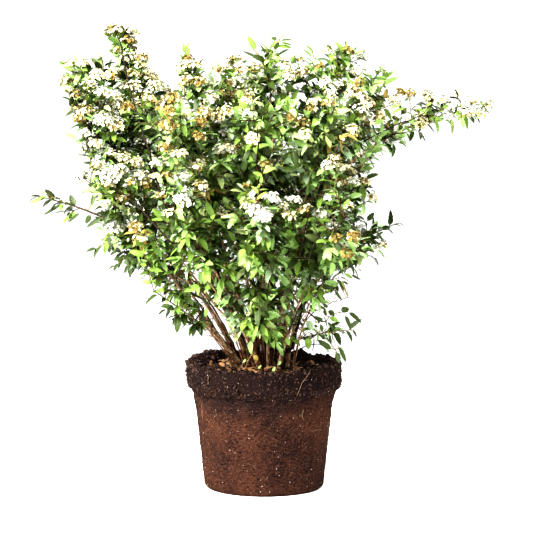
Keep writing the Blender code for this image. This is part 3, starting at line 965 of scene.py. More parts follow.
@dataclass(frozen=True)
class Sight:
    """The photograph's camera, and the places that the photograph's pixels show."""

    eye: tuple[float, float, float] = (0.0046, -3.0, 0.625)
    tilt: float = math.radians(4.28)
    lens: float = 112.2
    sensor: float = 36.0
    pixels: int = 533
    nearest: float = -0.268
    furthest: float = 0.45
    step: float = 0.004

    @property
    def metre(self) -> float:
        """The pixels that a metre takes up at a metre's distance."""
        return self.lens / self.sensor * self.pixels

    def at(self, x: float, y: float, depth: float) -> Vector:
        """The place that a pixel shows.

        Args:
            x: The pixel's place across the photograph.
            y: Its place down the photograph.
            depth: The place's Y.

        Returns:
            The place, in metres.
        """
        right, up = (x - self.pixels / 2) / self.metre, (self.pixels / 2 - y) / self.metre
        cos, sin = math.cos(self.tilt), math.sin(self.tilt)
        ray = Vector((right, cos + up * sin, up * cos - sin))
        return Vector(self.eye) + ray * ((depth - self.eye[1]) / ray.y)

    def on_crown(self, x: float, y: float, skeleton: Skeleton, inside: float) -> Vector:
        """The place on the crown's face that a pixel shows.

        Args:
            x: The pixel's place across the photograph.
            y: Its place down the photograph.
            skeleton: The limbs that give the crown's reach.
            inside: How far inside the reach the face is taken.

        Returns:
            The place, in metres, or the nearest one to the crown beside it.
        """
        depths = np.arange(self.nearest, self.furthest, self.step)
        places = [self.at(x, y, depth) for depth in depths]
        away = skeleton.outside(np.array(places))
        within = np.nonzero(away < -inside)[0]
        return places[int(within[0]) if len(within) else int(away.argmin())]


SIGHT = Sight()


@dataclass(frozen=True)
class Twig:
    """A thin stem noted on an enlargement.

    Its look, its radius at the foot, the depths of its first and last point, unless it lies
    on the crown's face, and its points.
    """

    look: Look
    radius: float
    depths: tuple[float, float] | None
    spots: list[tuple[int, int]]


@dataclass(frozen=True)
class Enlargement:
    """A part of the photograph, enlarged, with the leaves and thin stems noted on it.

    Its left and top are the photograph's pixels. A leaf's row is its root, its tip, its breadth
    and its green, and like a twig's points it is in the enlargement's own pixels.
    """

    left: float
    top: float
    scale: float
    depth: float
    leaves: list[tuple[int, int, int, int, int, Tone]] = field(default_factory=list)
    twigs: list[Twig] = field(default_factory=list)
    apart: float = 0.002
    face: float = 0.010

    def at(self, x: float, y: float, depth: float) -> Vector:
        """The place that one of its pixels shows at a depth."""
        return SIGHT.at(self.left + x / self.scale, self.top + y / self.scale, depth)

    def placed_leaves(self) -> list[tuple[Vector, Vector, float, Tone]]:
        """Each leaf's root, tip, breadth against the usual, and green, in five layers.

        Returns:
            One row for each leaf.
        """
        found = []
        for k, (x, y, tip_x, tip_y, wide, tone) in enumerate(self.leaves):
            depth = self.depth + ((k * 7) % 5 - 2) * self.apart
            broad = wide / math.dist((x, y), (tip_x, tip_y)) / LEAF_WIDTH
            found.append((self.at(x, y, depth), self.at(tip_x, tip_y, depth), broad, tone))
        return found

    def placed_twig(self, twig: Twig, skeleton: Skeleton) -> Line:
        """A twig's line, thinning towards its tip, from the limb that carries it.

        Args:
            twig: The twig.
            skeleton: The limbs that carry it and give the crown's reach.

        Returns:
            Its line.
        """
        last = len(twig.spots) - 1
        if twig.depths is None:
            spots = [(self.left + x / self.scale, self.top + y / self.scale) for x, y in twig.spots]
            faces = [SIGHT.on_crown(*spot, skeleton, self.face).y + self.face for spot in spots]
            depths = [sum(near) / len(near) for near in
                      (faces[max(0, k - 1) : k + 2] for k in range(last + 1))]
        else:
            first, end = twig.depths
            depths = [first + (end - first) * k / last for k in range(last + 1)]
        points = [self.at(*spot, depth) for spot, depth in zip(twig.spots, depths)]
        radii = [twig.radius * (1.0 - 0.5 * k / last) for k in range(last + 1)]
        return Line([skeleton.nearest(points[0])] + points, [twig.radius] + radii)


# Each noted leaf's green follows how light or dark the leaf shows: the deep, the lit and the greyish green
# stand partly for painted shade, painted light and a painted sky reflection.
ENLARGEMENTS = [
    # The sprays at the top of the middle.
    Enlargement(
        left=235, top=20, scale=24.12, depth=-0.012,
        leaves=[
            (530, 720, 290, 380, 150, MID), (460, 680, 350, 540, 60, YELLOW),
            (360, 620, 170, 520, 26, GREY), (520, 900, 180, 735, 60, DEEP),
            (1010, 480, 875, 420, 115, DEEP), (1010, 490, 820, 700, 80, MID),
            (1080, 490, 1205, 290, 36, YELLOW), (1090, 500, 1390, 465, 42, MID),
            (1090, 540, 1380, 600, 50, MID), (990, 650, 1380, 640, 100, MID),
            (830, 860, 990, 730, 34, DEEP), (820, 980, 960, 880, 42, DEEP),
            (780, 1210, 860, 1000, 140, MID), (1050, 1060, 975, 850, 90, MID),
            (1090, 1100, 1300, 970, 130, DEEP), (960, 1270, 900, 1130, 90, MID),
            (710, 1400, 650, 1120, 70, GREY), (850, 1500, 790, 1250, 95, GREY),
            (330, 1260, 560, 1330, 50, DEEP), (150, 1380, 130, 1500, 110, BRIGHT),
            (380, 1420, 540, 1480, 50, DEEP),
        ],
        twigs=[
            Twig(GREEN, 0.0013, (-0.012, -0.012), [
                (880, 1568), (740, 1300), (680, 1080), (560, 880), (510, 790), (400, 650), (360, 580),
            ]),
            Twig(GREEN, 0.0007, (-0.012, -0.012), [
                (760, 1300), (740, 1180), (780, 960), (870, 770), (1050, 520), (1200, 300),
            ]),
            Twig(GREEN, 0.0007, (-0.012, -0.012), [(1040, 1200), (1070, 1050), (1090, 870)]),
        ],
    ),
    # The low right rim.
    Enlargement(
        left=295, top=265, scale=14.93, depth=-0.075,
        leaves=[
            (205, 1075, 185, 1265, 120, MID), (550, 1270, 345, 1105, 92, DEEP),
            (445, 1120, 370, 1030, 40, DEEP), (545, 1200, 500, 985, 45, DEEP),
            (510, 1320, 440, 1190, 35, GREY), (620, 1290, 665, 1475, 88, DEEP),
            (655, 1220, 770, 1455, 72, DEEP), (640, 1225, 725, 1290, 50, MID),
            (680, 680, 812, 645, 100, DEEP), (790, 700, 1008, 862, 78, DEEP),
            (740, 740, 850, 985, 66, DEEP), (510, 780, 657, 835, 82, MID), (480, 840, 608, 992, 42, DEEP),
            (385, 880, 410, 1012, 52, DEEP), (175, 850, 240, 985, 72, MID), (430, 850, 270, 760, 60, DEEP),
            (470, 690, 345, 585, 38, DEEP), (490, 645, 405, 570, 36, DEEP), (590, 745, 500, 690, 72, DEEP),
            (590, 370, 700, 537, 46, DEEP), (640, 130, 742, 65, 42, DEEP), (740, 130, 875, 190, 58, MID),
            (830, 140, 992, 222, 38, DEEP), (700, 230, 732, 342, 38, MID), (715, 240, 800, 292, 32, DEEP),
            (220, 590, 300, 705, 82, BRIGHT), (250, 450, 322, 620, 52, GREY), (100, 985, 190, 930, 62, MID),
            (460, 320, 560, 250, 90, BRIGHT), (560, 330, 640, 250, 80, BRIGHT),
            (440, 420, 530, 360, 80, MID), (330, 330, 400, 430, 60, MID),
        ],
        twigs=[
            Twig(DARK, 0.0010, (-0.06, -0.075), [
                (20, 1290), (150, 1212), (250, 1186), (350, 1180), (480, 1215), (600, 1262), (655, 1240),
            ]),
            Twig(DARK, 0.0007, (-0.06, -0.075), [(60, 1085), (150, 1078), (250, 1100), (370, 1010)]),
            Twig(DARK, 0.0009, (-0.06, -0.075), [
                (120, 880), (240, 742), (300, 690), (400, 650), (480, 600), (570, 545), (670, 535),
                (720, 505), (790, 485), (852, 500),
            ]),
            Twig(DARK, 0.0010, (-0.06, -0.075), [
                (170, 690), (250, 745), (330, 800), (400, 852), (470, 830), (530, 745), (620, 720),
                (700, 705), (790, 700),
            ]),
        ],
    ),
    # The rosette over the root ball.
    Enlargement(
        left=230, top=290, scale=22.4, depth=-0.125,
        leaves=[
            (725, 690, 1065, 560, 110, BRIGHT), (740, 700, 1075, 865, 150, TIP),
            (700, 640, 520, 490, 105, BRIGHT), (600, 650, 415, 810, 105, TIP),
            (590, 750, 480, 1185, 115, MID), (705, 790, 560, 1040, 120, BRIGHT),
            (750, 820, 770, 1080, 85, BRIGHT), (800, 860, 895, 1112, 82, BRIGHT),
            (900, 840, 990, 1060, 62, MID), (980, 870, 1112, 1045, 100, BRIGHT),
            (700, 960, 650, 1105, 52, TIP), (1040, 1150, 1180, 1350, 110, BRIGHT),
            (1250, 560, 1350, 770, 115, MID), (1285, 1070, 1335, 1245, 100, MID),
            (410, 40, 330, 205, 135, BRIGHT), (500, 60, 602, 335, 85, MID), (130, 190, 40, 300, 82, GREY),
            (170, 210, 282, 352, 85, GREY), (160, 480, 60, 565, 66, GREY), (130, 590, 212, 725, 74, GREY),
            (1150, 280, 1292, 445, 85, BRIGHT), (1160, 140, 1182, 325, 92, MID),
            (1290, 150, 1425, 205, 66, MID), (250, 920, 170, 1072, 62, GREY),
        ],
    ),
    # The long branch to the right.
    Enlargement(
        left=370, top=80, scale=12.06, depth=-0.012,
        leaves=[
            (160, 465, 58, 522, 72, MID), (200, 355, 200, 445, 52, MID), (380, 290, 245, 325, 52, MID),
            (430, 335, 250, 400, 46, MID), (255, 440, 362, 482, 52, DEEP), (470, 215, 418, 246, 42, DEEP),
            (682, 252, 580, 222, 32, GREY), (640, 310, 548, 288, 26, DEEP), (612, 402, 510, 350, 40, DEEP),
            (655, 385, 560, 338, 42, MID), (745, 268, 680, 312, 48, MID), (862, 362, 768, 290, 32, DEEP),
            (870, 332, 957, 305, 52, MID), (782, 420, 690, 370, 48, DEEP), (768, 420, 735, 485, 52, MID),
            (785, 450, 848, 472, 42, MID), (790, 455, 812, 548, 46, MID), (1060, 440, 1066, 358, 62, MID),
            (1098, 465, 1148, 578, 62, BRIGHT), (1105, 430, 1052, 492, 42, MID),
            (1108, 425, 1152, 462, 42, MID), (1320, 405, 1298, 348, 42, BRIGHT),
            (1352, 405, 1288, 455, 72, BRIGHT), (1368, 400, 1402, 472, 36, BRIGHT),
            (392, 548, 342, 602, 52, DEEP), (400, 540, 522, 638, 48, MID), (470, 465, 535, 535, 82, BRIGHT),
            (170, 612, 266, 636, 42, MID), (130, 622, 55, 578, 62, DEEP), (30, 822, 152, 803, 62, TIP),
            (25, 620, 62, 742, 62, GREY), (20, 190, 152, 240, 22, DEEP), (0, 70, 205, -12, 90, TIP),
            (150, 60, 197, 96, 30, DEEP), (640, 430, 702, 458, 22, DEEP),
        ],
        twigs=[
            Twig(DARK, 0.0016, (-0.02, -0.016), [
                (-60, 735), (0, 700), (90, 650), (180, 610), (280, 555), (340, 530), (400, 505),
                (480, 490), (560, 450), (650, 400), (700, 340), (740, 290),
            ]),
            Twig(DARK, 0.0008, (-0.012, -0.012), [
                (600, 430), (690, 425), (780, 430), (830, 395), (860, 350), (960, 350), (1050, 380),
                (1108, 428),
            ]),
        ],
    ),
    # The single shoot to the left.
    Enlargement(
        left=25, top=180, scale=14.25, depth=-0.05,
        leaves=[
            (330, 202, 112, 134, 32, TIP), (332, 230, 58, 328, 62, MID), (430, 251, 268, 329, 42, DEEP),
            (418, 252, 502, 266, 36, DEEP), (552, 325, 232, 515, 44, DEEP), (540, 338, 486, 437, 62, MID),
            (560, 322, 668, 344, 28, DEEP), (745, 446, 503, 603, 64, MID), (795, 467, 595, 594, 46, DEEP),
            (942, 495, 850, 620, 82, DEEP), (1100, 538, 862, 676, 68, DEEP),
            (1110, 547, 1226, 553, 42, MID), (1032, 38, 878, 122, 52, MID), (1090, 68, 948, 134, 24, DEEP),
            (1252, 168, 1158, 284, 82, BRIGHT), (1332, 380, 1148, 514, 72, MID),
            (1300, 680, 1128, 858, 115, DEEP), (1210, 800, 1103, 1062, 84, MID),
            (1305, 760, 1278, 990, 92, BRIGHT), (1442, 700, 1378, 815, 82, DEEP),
            (1440, 740, 1502, 852, 82, DEEP), (1172, 350, 1140, 404, 34, DEEP),
            (1106, 420, 1080, 470, 28, DEEP),
        ],
        twigs=[
            Twig(DARK, 0.0011, (-0.07, -0.075), [
                (1300, 770), (1330, 820), (1420, 890), (1500, 980), (1580, 1080),
            ]),
        ],
    ),
    # In front of the left canes.
    Enlargement(
        left=185, top=262, scale=17.42, depth=-0.115,
        leaves=[
            (800, 580, 555, 815, 120, BRIGHT), (345, 370, 575, 465, 95, GREY),
            (350, 150, 352, 335, 50, BRIGHT), (390, 795, 340, 965, 80, MID),
            (790, 50, 930, 205, 100, BRIGHT), (1150, 90, 1030, 280, 80, BRIGHT),
            (835, 300, 945, 300, 80, BRIGHT), (960, 350, 1030, 280, 45, TIP),
            (960, 400, 1085, 440, 50, GREY), (730, 370, 835, 455, 60, GREY), (860, 425, 945, 375, 50, TIP),
            (1000, 440, 1075, 630, 100, BRIGHT), (820, 705, 895, 640, 60, GREY),
            (925, 650, 1030, 745, 70, GREY), (845, 870, 830, 970, 60, GREY), (870, 940, 935, 1055, 66, TIP),
            (610, 915, 705, 955, 45, GREY), (735, 1025, 795, 1120, 50, TIP),
            (850, 1145, 830, 1215, 40, TIP), (770, 1235, 755, 1310, 40, DEEP),
            (920, 1245, 935, 1340, 60, MID), (60, 440, 75, 730, 100, DEEP), (10, 470, 20, 640, 90, MID),
            (120, 560, 330, 640, 60, DEEP), (300, 620, 380, 700, 70, DEEP), (100, 830, 40, 975, 40, DEEP),
            (60, 760, 10, 880, 50, DEEP), (450, 560, 520, 480, 60, DEEP), (480, 640, 560, 600, 50, DEEP),
            (640, 60, 600, 130, 60, DEEP), (1050, 760, 1040, 900, 50, GREY),
            (1000, 1050, 1080, 1130, 70, BRIGHT), (720, 480, 700, 560, 60, DEEP),
            (80, 250, 130, 290, 50, MID), (200, 160, 260, 80, 60, DEEP), (960, 1240, 1010, 1160, 40, MID),
        ],
        twigs=[
            Twig(TAN, 0.0030, (-0.03, -0.1), [
                (1070, 1720), (1000, 1500), (900, 1250), (760, 1000), (600, 840), (480, 700), (330, 560),
                (200, 450), (0, 330), (-120, 270),
            ]),
            Twig(TAN, 0.0024, (-0.08, -0.105), [
                (500, 720), (400, 590), (250, 390), (130, 230), (20, 80), (-60, -20),
            ]),
            Twig(DARK, 0.0014, (-0.09, -0.095), [(650, 800), (625, 600), (610, 400), (590, 200), (600, 60)]),
            Twig(DARK, 0.0012, (-0.08, -0.11), [(330, 800), (220, 690), (130, 620), (90, 590)]),
        ],
    ),
    # In front of the right canes.
    Enlargement(
        left=280, top=262, scale=17.42, depth=-0.085,
        leaves=[
            (100, 10, 345, 75, 85, GREY), (385, 90, 270, 305, 115, BRIGHT), (0, 110, 185, 150, 80, DEEP),
            (155, 325, 10, 470, 150, MID), (60, 735, 115, 835, 85, BRIGHT), (170, 735, 222, 855, 75, MID),
            (10, 600, 62, 725, 66, MID), (140, 880, 205, 1105, 95, DEEP), (300, 830, 345, 925, 85, DEEP),
            (110, 1325, 152, 1455, 85, DEEP), (500, 180, 530, 315, 66, MID), (560, 560, 642, 765, 50, GREY),
            (520, 740, 625, 845, 66, DEEP), (430, 570, 485, 645, 66, DEEP), (150, 600, 215, 665, 60, DEEP),
            (780, 385, 872, 335, 95, BRIGHT), (700, 520, 805, 545, 66, MID), (400, 620, 452, 705, 56, DEEP),
            (240, 560, 180, 645, 45, BRIGHT), (200, 400, 290, 330, 70, DEEP), (560, 420, 660, 450, 60, MID),
            (300, 400, 360, 470, 60, DEEP), (590, 300, 640, 400, 50, DEEP), (60, 200, 150, 260, 60, DEEP),
            (660, 180, 760, 240, 70, DEEP), (20, 1400, 60, 1540, 100, BRIGHT),
            (30, 960, 60, 1080, 50, GREY),
        ],
        twigs=[
            Twig(GREEN, 0.0009, (-0.06, -0.085), [
                (50, 1400), (62, 1330), (88, 1200), (110, 1080), (100, 990),
            ]),
            Twig(TAN, 0.0008, (-0.08, -0.085), [(270, 545), (360, 480), (480, 520), (530, 565)]),
            Twig(TAN, 0.0007, (-0.08, -0.085), [(100, 1240), (170, 1200), (260, 1225), (300, 1250)]),
            Twig(DARK, 0.0030, (-0.04, -0.085), [
                (215, 1500), (250, 1320), (290, 1180), (330, 1060), (370, 880), (420, 760), (480, 660),
            ]),
        ],
    ),
    # Among the feet of the canes.
    Enlargement(
        left=185, top=262, scale=8.247, depth=-0.085,
        leaves=[
            (568, 765, 600, 822, 42, YELLOW), (545, 640, 540, 765, 46, BRIGHT),
            (722, 905, 742, 862, 26, BRIGHT), (768, 852, 792, 815, 24, BRIGHT),
            (752, 655, 818, 785, 46, BRIGHT), (830, 620, 862, 690, 44, MID), (505, 800, 470, 835, 20, TIP),
            (600, 880, 630, 850, 20, TIP), (820, 150, 790, 215, 66, GREY), (725, 205, 668, 222, 30, TIP),
            (400, 20, 435, 80, 56, BRIGHT), (650, 70, 605, 110, 46, MID), (1010, 110, 925, 60, 66, TIP),
            (960, 40, 850, 10, 50, GREY), (1090, 70, 1020, 60, 30, TIP), (1180, 170, 1250, 160, 34, BRIGHT),
            (1120, 200, 1190, 235, 34, TIP), (1060, 200, 1010, 160, 36, TIP),
            (1150, 100, 1240, 60, 30, MID), (1010, 240, 900, 240, 36, GREY),
            (820, 370, 850, 320, 36, BRIGHT), (830, 270, 790, 340, 40, GREY),
            (1000, 480, 1060, 560, 60, GREY), (380, 420, 300, 445, 36, GREY), (400, 560, 350, 500, 40, TIP),
            (440, 600, 400, 660, 36, TIP), (350, 320, 420, 300, 36, TIP),
        ],
        twigs=[
            Twig(ORANGE, 0.0015, (-0.062, -0.08), [(492, 862), (465, 780), (440, 710), (405, 630)]),
            Twig(TAN, 0.0011, (-0.075, -0.085), [(497, 890), (515, 820), (550, 765)]),
            Twig(ORANGE, 0.0014, (-0.07, -0.085), [(640, 890), (600, 800), (575, 720), (560, 660)]),
            Twig(TAN, 0.0012, (-0.075, -0.085), [(762, 908), (772, 820), (788, 750)]),
            Twig(TAN, 0.0012, (-0.056, -0.1), [(893, 905), (920, 760), (950, 620), (985, 480), (1030, 340)]),
            Twig(GREEN, 0.0013, (-0.08, -0.1), [(812, 680), (830, 560), (850, 470)]),
            Twig(TAN, 0.0008, (-0.085, -0.095), [(850, 585), (920, 580), (985, 540)]),
        ],
    ),
    # The outermost leaves low on the right.
    Enlargement(
        left=300, top=285, scale=18.03, depth=-0.075,
        leaves=[
            (320, 345, 485, 455, 34, DEEP), (400, 325, 515, 400, 46, DEEP), (425, 440, 480, 565, 66, DEEP),
            (510, 465, 612, 475, 46, DEEP), (540, 500, 625, 555, 56, DEEP), (190, 350, 245, 505, 66, MID),
            (165, 475, 305, 430, 56, MID), (230, 565, 425, 615, 46, DEEP), (250, 640, 330, 690, 50, TIP),
            (330, 590, 350, 705, 60, DEEP), (80, 780, 165, 800, 60, DEEP), (250, 720, 325, 765, 46, DEEP),
            (180, 150, 300, 385, 56, MID), (510, 830, 575, 1075, 50, MID), (360, 880, 455, 985, 40, DEEP),
        ],
        twigs=[
            Twig(DARK, 0.0009, (-0.075, -0.075), [(540, 1040), (610, 1130), (655, 1205)]),
            Twig(DARK, 0.0008, (-0.075, -0.075), [(590, 970), (625, 1030), (645, 1095)]),
        ],
    ),
    # The crown's left half.
    Enlargement(
        left=40, top=10, scale=6.03, depth=-0.1,
        twigs=[
            Twig(DARK, 0.0021, None, [
                (690, 985), (680, 960), (660, 850), (630, 780), (600, 680), (570, 570), (540, 470),
                (520, 380), (500, 270), (480, 180),
            ]),
            Twig(DARK, 0.0020, None, [(800, 1410), (770, 1380), (680, 1280), (600, 1190), (530, 1130)]),
            Twig(DARK, 0.0015, None, [(1300, 1180), (1330, 1100), (1400, 960), (1460, 870)]),
            Twig(DARK, 0.0014, None, [(1310, 900), (1318, 800), (1310, 700)]),
        ],
    ),
    # The crown's right half.
    Enlargement(
        left=250, top=150, scale=6.81, depth=-0.1,
        twigs=[
            Twig(DARK, 0.0012, None, [(335, 740), (350, 660), (380, 520), (440, 280), (500, 170)]),
            Twig(DARK, 0.0014, None, [(400, 740), (425, 670), (460, 600)]),
            Twig(DARK, 0.0018, None, [(50, 380), (90, 250), (140, 140), (200, 40)]),
        ],
    ),
]


def placed_twigs(look: Look, skeleton: Skeleton) -> list[Line]:
    """The noted twigs that have one look.

    Args:
        look: The look.
        skeleton: The limbs that carry them and give the crown's reach.

    Returns:
        Their lines.
    """
    return [
        part.placed_twig(twig, skeleton)
        for part in ENLARGEMENTS
        for twig in part.twigs
        if twig.look is look
    ]


@dataclass
class Canes:
    """The canes and boughs in their bark, each grown into what carries it."""

    skeleton: Skeleton
    sides: int = 14
    station: float = 0.0035
    sunk: float = 0.012
    relief: float = 0.18
    knots: float = 0.12
    leader_gap: float = 0.012
    plain_swell: float = 0.90
    knot_from: float = 0.25
    stem_sunk: float = 0.006
    stem_runs: int = 14
    stem_knees: float = 0.0010
    stem_taper: float = 0.45
    spurs_on_bough: int = 4
    spurs_on_cane: int = 9
    spur_length: tuple[float, float] = (0.008, 0.030)
    spur_radii: tuple[float, float, float] = (0.0009, 0.0006, 0.0003)
    young_stems: int = 42
    young_runs: int = 12
    young_shift: float = 0.014
    young_sway: float = 0.035
    young_sunk: float = 0.010
    young_taper: float = 0.6
    young_radius: tuple[float, float] = (0.0011, 0.0024)
    young_height: tuple[float, float] = (0.14, 0.36)
    seed: int = 5

    def lines(self) -> list[Line]:
        """Each limb's line from below the soil, or from inside its cane, to its leader's tip.

        Returns:
            One line for each limb.
        """
        found = []
        for wand in WANDS:
            arc = self.skeleton.arcs[wand.name]
            last = 1.0 - self.leader_gap / arc.length
            count = max(8, round(arc.length * last / self.station))
            shares = [last * k / count for k in range(count + 1)]
            points = [arc.point(t) for t in shares]
            radii = [self.skeleton.radius(wand, t) for t in shares]
            if wand.parent is None:
                deep = arc.direction(0.0) * self.sunk
                points, radii = [points[0] - deep, *points], [radii[0] * 1.05, *radii]
            found.append(Line(points, radii))
        return found

    def shape(self, bm: bmesh.types.BMesh, line: Line, seed: float) -> None:
        """Wraps a grid round a line as a closed tube with the bark's relief.

        Args:
            bm: The bmesh that it goes into.
            line: The limb's line.
            seed: Where this limb's relief is read.
        """
        count = len(line.points) - 1
        made = bmesh.ops.create_grid(
            bm, x_segments=self.sides, y_segments=count, size=0.5, calc_uvs=True
        )["verts"]
        side = (line.points[1] - line.points[0]).orthogonal().normalized()
        frames = []
        for k, point in enumerate(line.points):
            ahead, behind = line.points[min(k + 1, count)], line.points[max(k - 1, 0)]
            along = (ahead - behind).normalized()
            side = (side - along * side.dot(along)).normalized()
            frames.append((point, side, along.cross(side)))
        wander = Vector((seed * 7.3, seed * 3.1, seed))
        for vert in made:
            turn = (vert.co.x + 0.5) * math.tau
            k = round((vert.co.y + 0.5) * count)
            point, first, second = frames[k]
            out = first * math.cos(turn) + second * math.sin(turn)
            run = k * self.station
            coarse = noise.noise(Vector((out.x * 2.2, out.y * 2.2, run * 28)) + wander)
            strip = noise.noise(Vector((out.x * 5.5, out.y * 5.5, run * 70)) + wander)
            knot = noise.noise(Vector((0.0, 0.0, run * 34)) + wander)
            bumps = coarse + max(0.0, knot - self.knot_from) * 2
            swell = self.plain_swell + self.relief * strip + self.knots * bumps
            vert.co = point + out * (line.radii[k] * swell)

    def build(self) -> None:
        """Makes the piece."""
        bm = new_bmesh()
        for index, line in enumerate(self.lines()):
            self.shape(bm, line, index * 5.0)
        bmesh.ops.remove_doubles(bm, verts=bm.verts, dist=0.00001)
        bmesh.ops.holes_fill(bm, edges=[e for e in bm.edges if e.is_boundary], sides=0)
        bmesh.ops.recalc_face_normals(bm, faces=bm.faces)
        mesh = mesh_of(bm, "canes")
        mesh.shade_smooth()
        add_piece("canes_in_bark", mesh, BarkFinish().build(), LIMB_NODES)
        looks = {
            DARK: MottledFinish("young_stems_dark", (18, 13, 11), (52, 38, 31), 220.0, 0.8),
            ORANGE: MottledFinish("young_stems_orange", (140, 92, 58), (72, 44, 30), 160.0, 0.8),
            TAN: MottledFinish("young_stems_tan", (182, 148, 112), (92, 62, 44), 200.0, 0.8),
        }
        young = self.young() + self.dead_spurs()
        for k, (look, finish) in enumerate(looks.items()):
            placed = [self.stem(row) for row in STEMS if row.look is look]
            lines = young[k :: len(looks)] + placed + placed_twigs(look, self.skeleton)
            add_piece(finish.name, tubes(finish.name, lines), finish.build(), LIMB_NODES)

    def stem(self, row: Stem) -> Line:
        """One thin stem of the table, bent a little to one side and with slight knees.

        Args:
            row: The table's row.

        Returns:
            Its line.
        """
        foot = Vector((*row.foot, self.skeleton.soil_top - self.stem_sunk))
        top = Vector(row.top)
        points, radii = [], []
        for i in range(self.stem_runs + 1):
            share = i / self.stem_runs
            point = foot.lerp(top, share)
            point.x += row.bend * 4 * share * (1 - share)
            point.x += self.stem_knees * math.sin(i * 2.3 + top.x * 90)
            points.append(point)
            radii.append(row.radius * (1.0 - self.stem_taper * share))
        return Line(points, radii)

    def dead_spurs(self) -> list[Line]:
        """Short dry twigs that stick out of the canes' bare parts.

        Returns:
            Their lines.
        """
        rng = random.Random(self.seed * 3)
        found = []
        for wand in WANDS:
            arc = self.skeleton.arcs[wand.name]
            for _ in range(self.spurs_on_bough if wand.parent else self.spurs_on_cane):
                t = wand.bare * rng.uniform(0.15, 1.0)
                axis = arc.direction(t)
                way = turned_round(axis, rng.uniform(0.6, 1.3), rng.uniform(0.0, math.tau))
                long = rng.uniform(*self.spur_length)
                start = arc.point(t)
                knee = start + way * long * 0.6
                tip = knee + (way + UP * rng.uniform(-0.4, 0.7)).normalized() * long * 0.4
                found.append(Line([start, knee, tip], list(self.spur_radii)))
        return found

    def young(self) -> list[Line]:
        """Thin young stems that rise between the canes into the crown.

        Returns:
            Their lines.
        """
        rng = random.Random(self.seed)
        found = []
        canes = [wand for wand in WANDS if wand.parent is None]
        for k in range(self.young_stems):
            arc = self.skeleton.arcs[canes[k * 5 % len(canes)].name]
            shift = flat_way(rng) * self.young_shift
            tall = rng.uniform(*self.young_height) / arc.length
            thick = rng.uniform(*self.young_radius)
            sway = flat_way(rng) * self.young_sway
            shares = [i / self.young_runs for i in range(self.young_runs + 1)]
            points = [arc.point(tall * s) + shift + sway * s * s for s in shares]
            points[0] -= UP * self.young_sunk
            found.append(Line(points, [thick * (1.0 - self.young_taper * s) for s in shares]))
        return found


@dataclass(frozen=True)
class Sprig:
    """A shoot that stands out of the crown, or hangs from it: its root, its tip and its bow."""

    root: tuple[float, float, float]
    tip: tuple[float, float, float]
    bow: float
    tone: Tone
    size: float = 1.0


SPRIGS = [
    Sprig((0.128, -0.010, 0.715), (0.144, -0.015, 0.796), 0.03, MID, 0.9),
    Sprig((0.180, -0.080, 0.665), (0.213, -0.095, 0.738), -0.05, MID, 1.1),
    Sprig((-0.142, -0.030, 0.710), (-0.138, -0.040, 0.788), 0.03, MID, 0.8),
    Sprig((-0.095, -0.040, 0.700), (-0.082, -0.050, 0.772), 0.03, GREY, 0.8),
    Sprig((0.165, -0.060, 0.570), (0.205, -0.080, 0.640), -0.08, BRIGHT, 0.9),
    Sprig((-0.030, -0.080, 0.300), (-0.052, -0.115, 0.322), 0.10, GREY, 0.7),
    Sprig((-0.050, -0.070, 0.300), (-0.064, -0.095, 0.338), 0.10, GREY, 0.6),
    Sprig((-0.180, -0.060, 0.450), (-0.262, -0.085, 0.408), 0.15, DEEP, 0.9),
    Sprig((-0.190, -0.020, 0.470), (-0.300, -0.030, 0.435), 0.12, DEEP, 0.9),
]
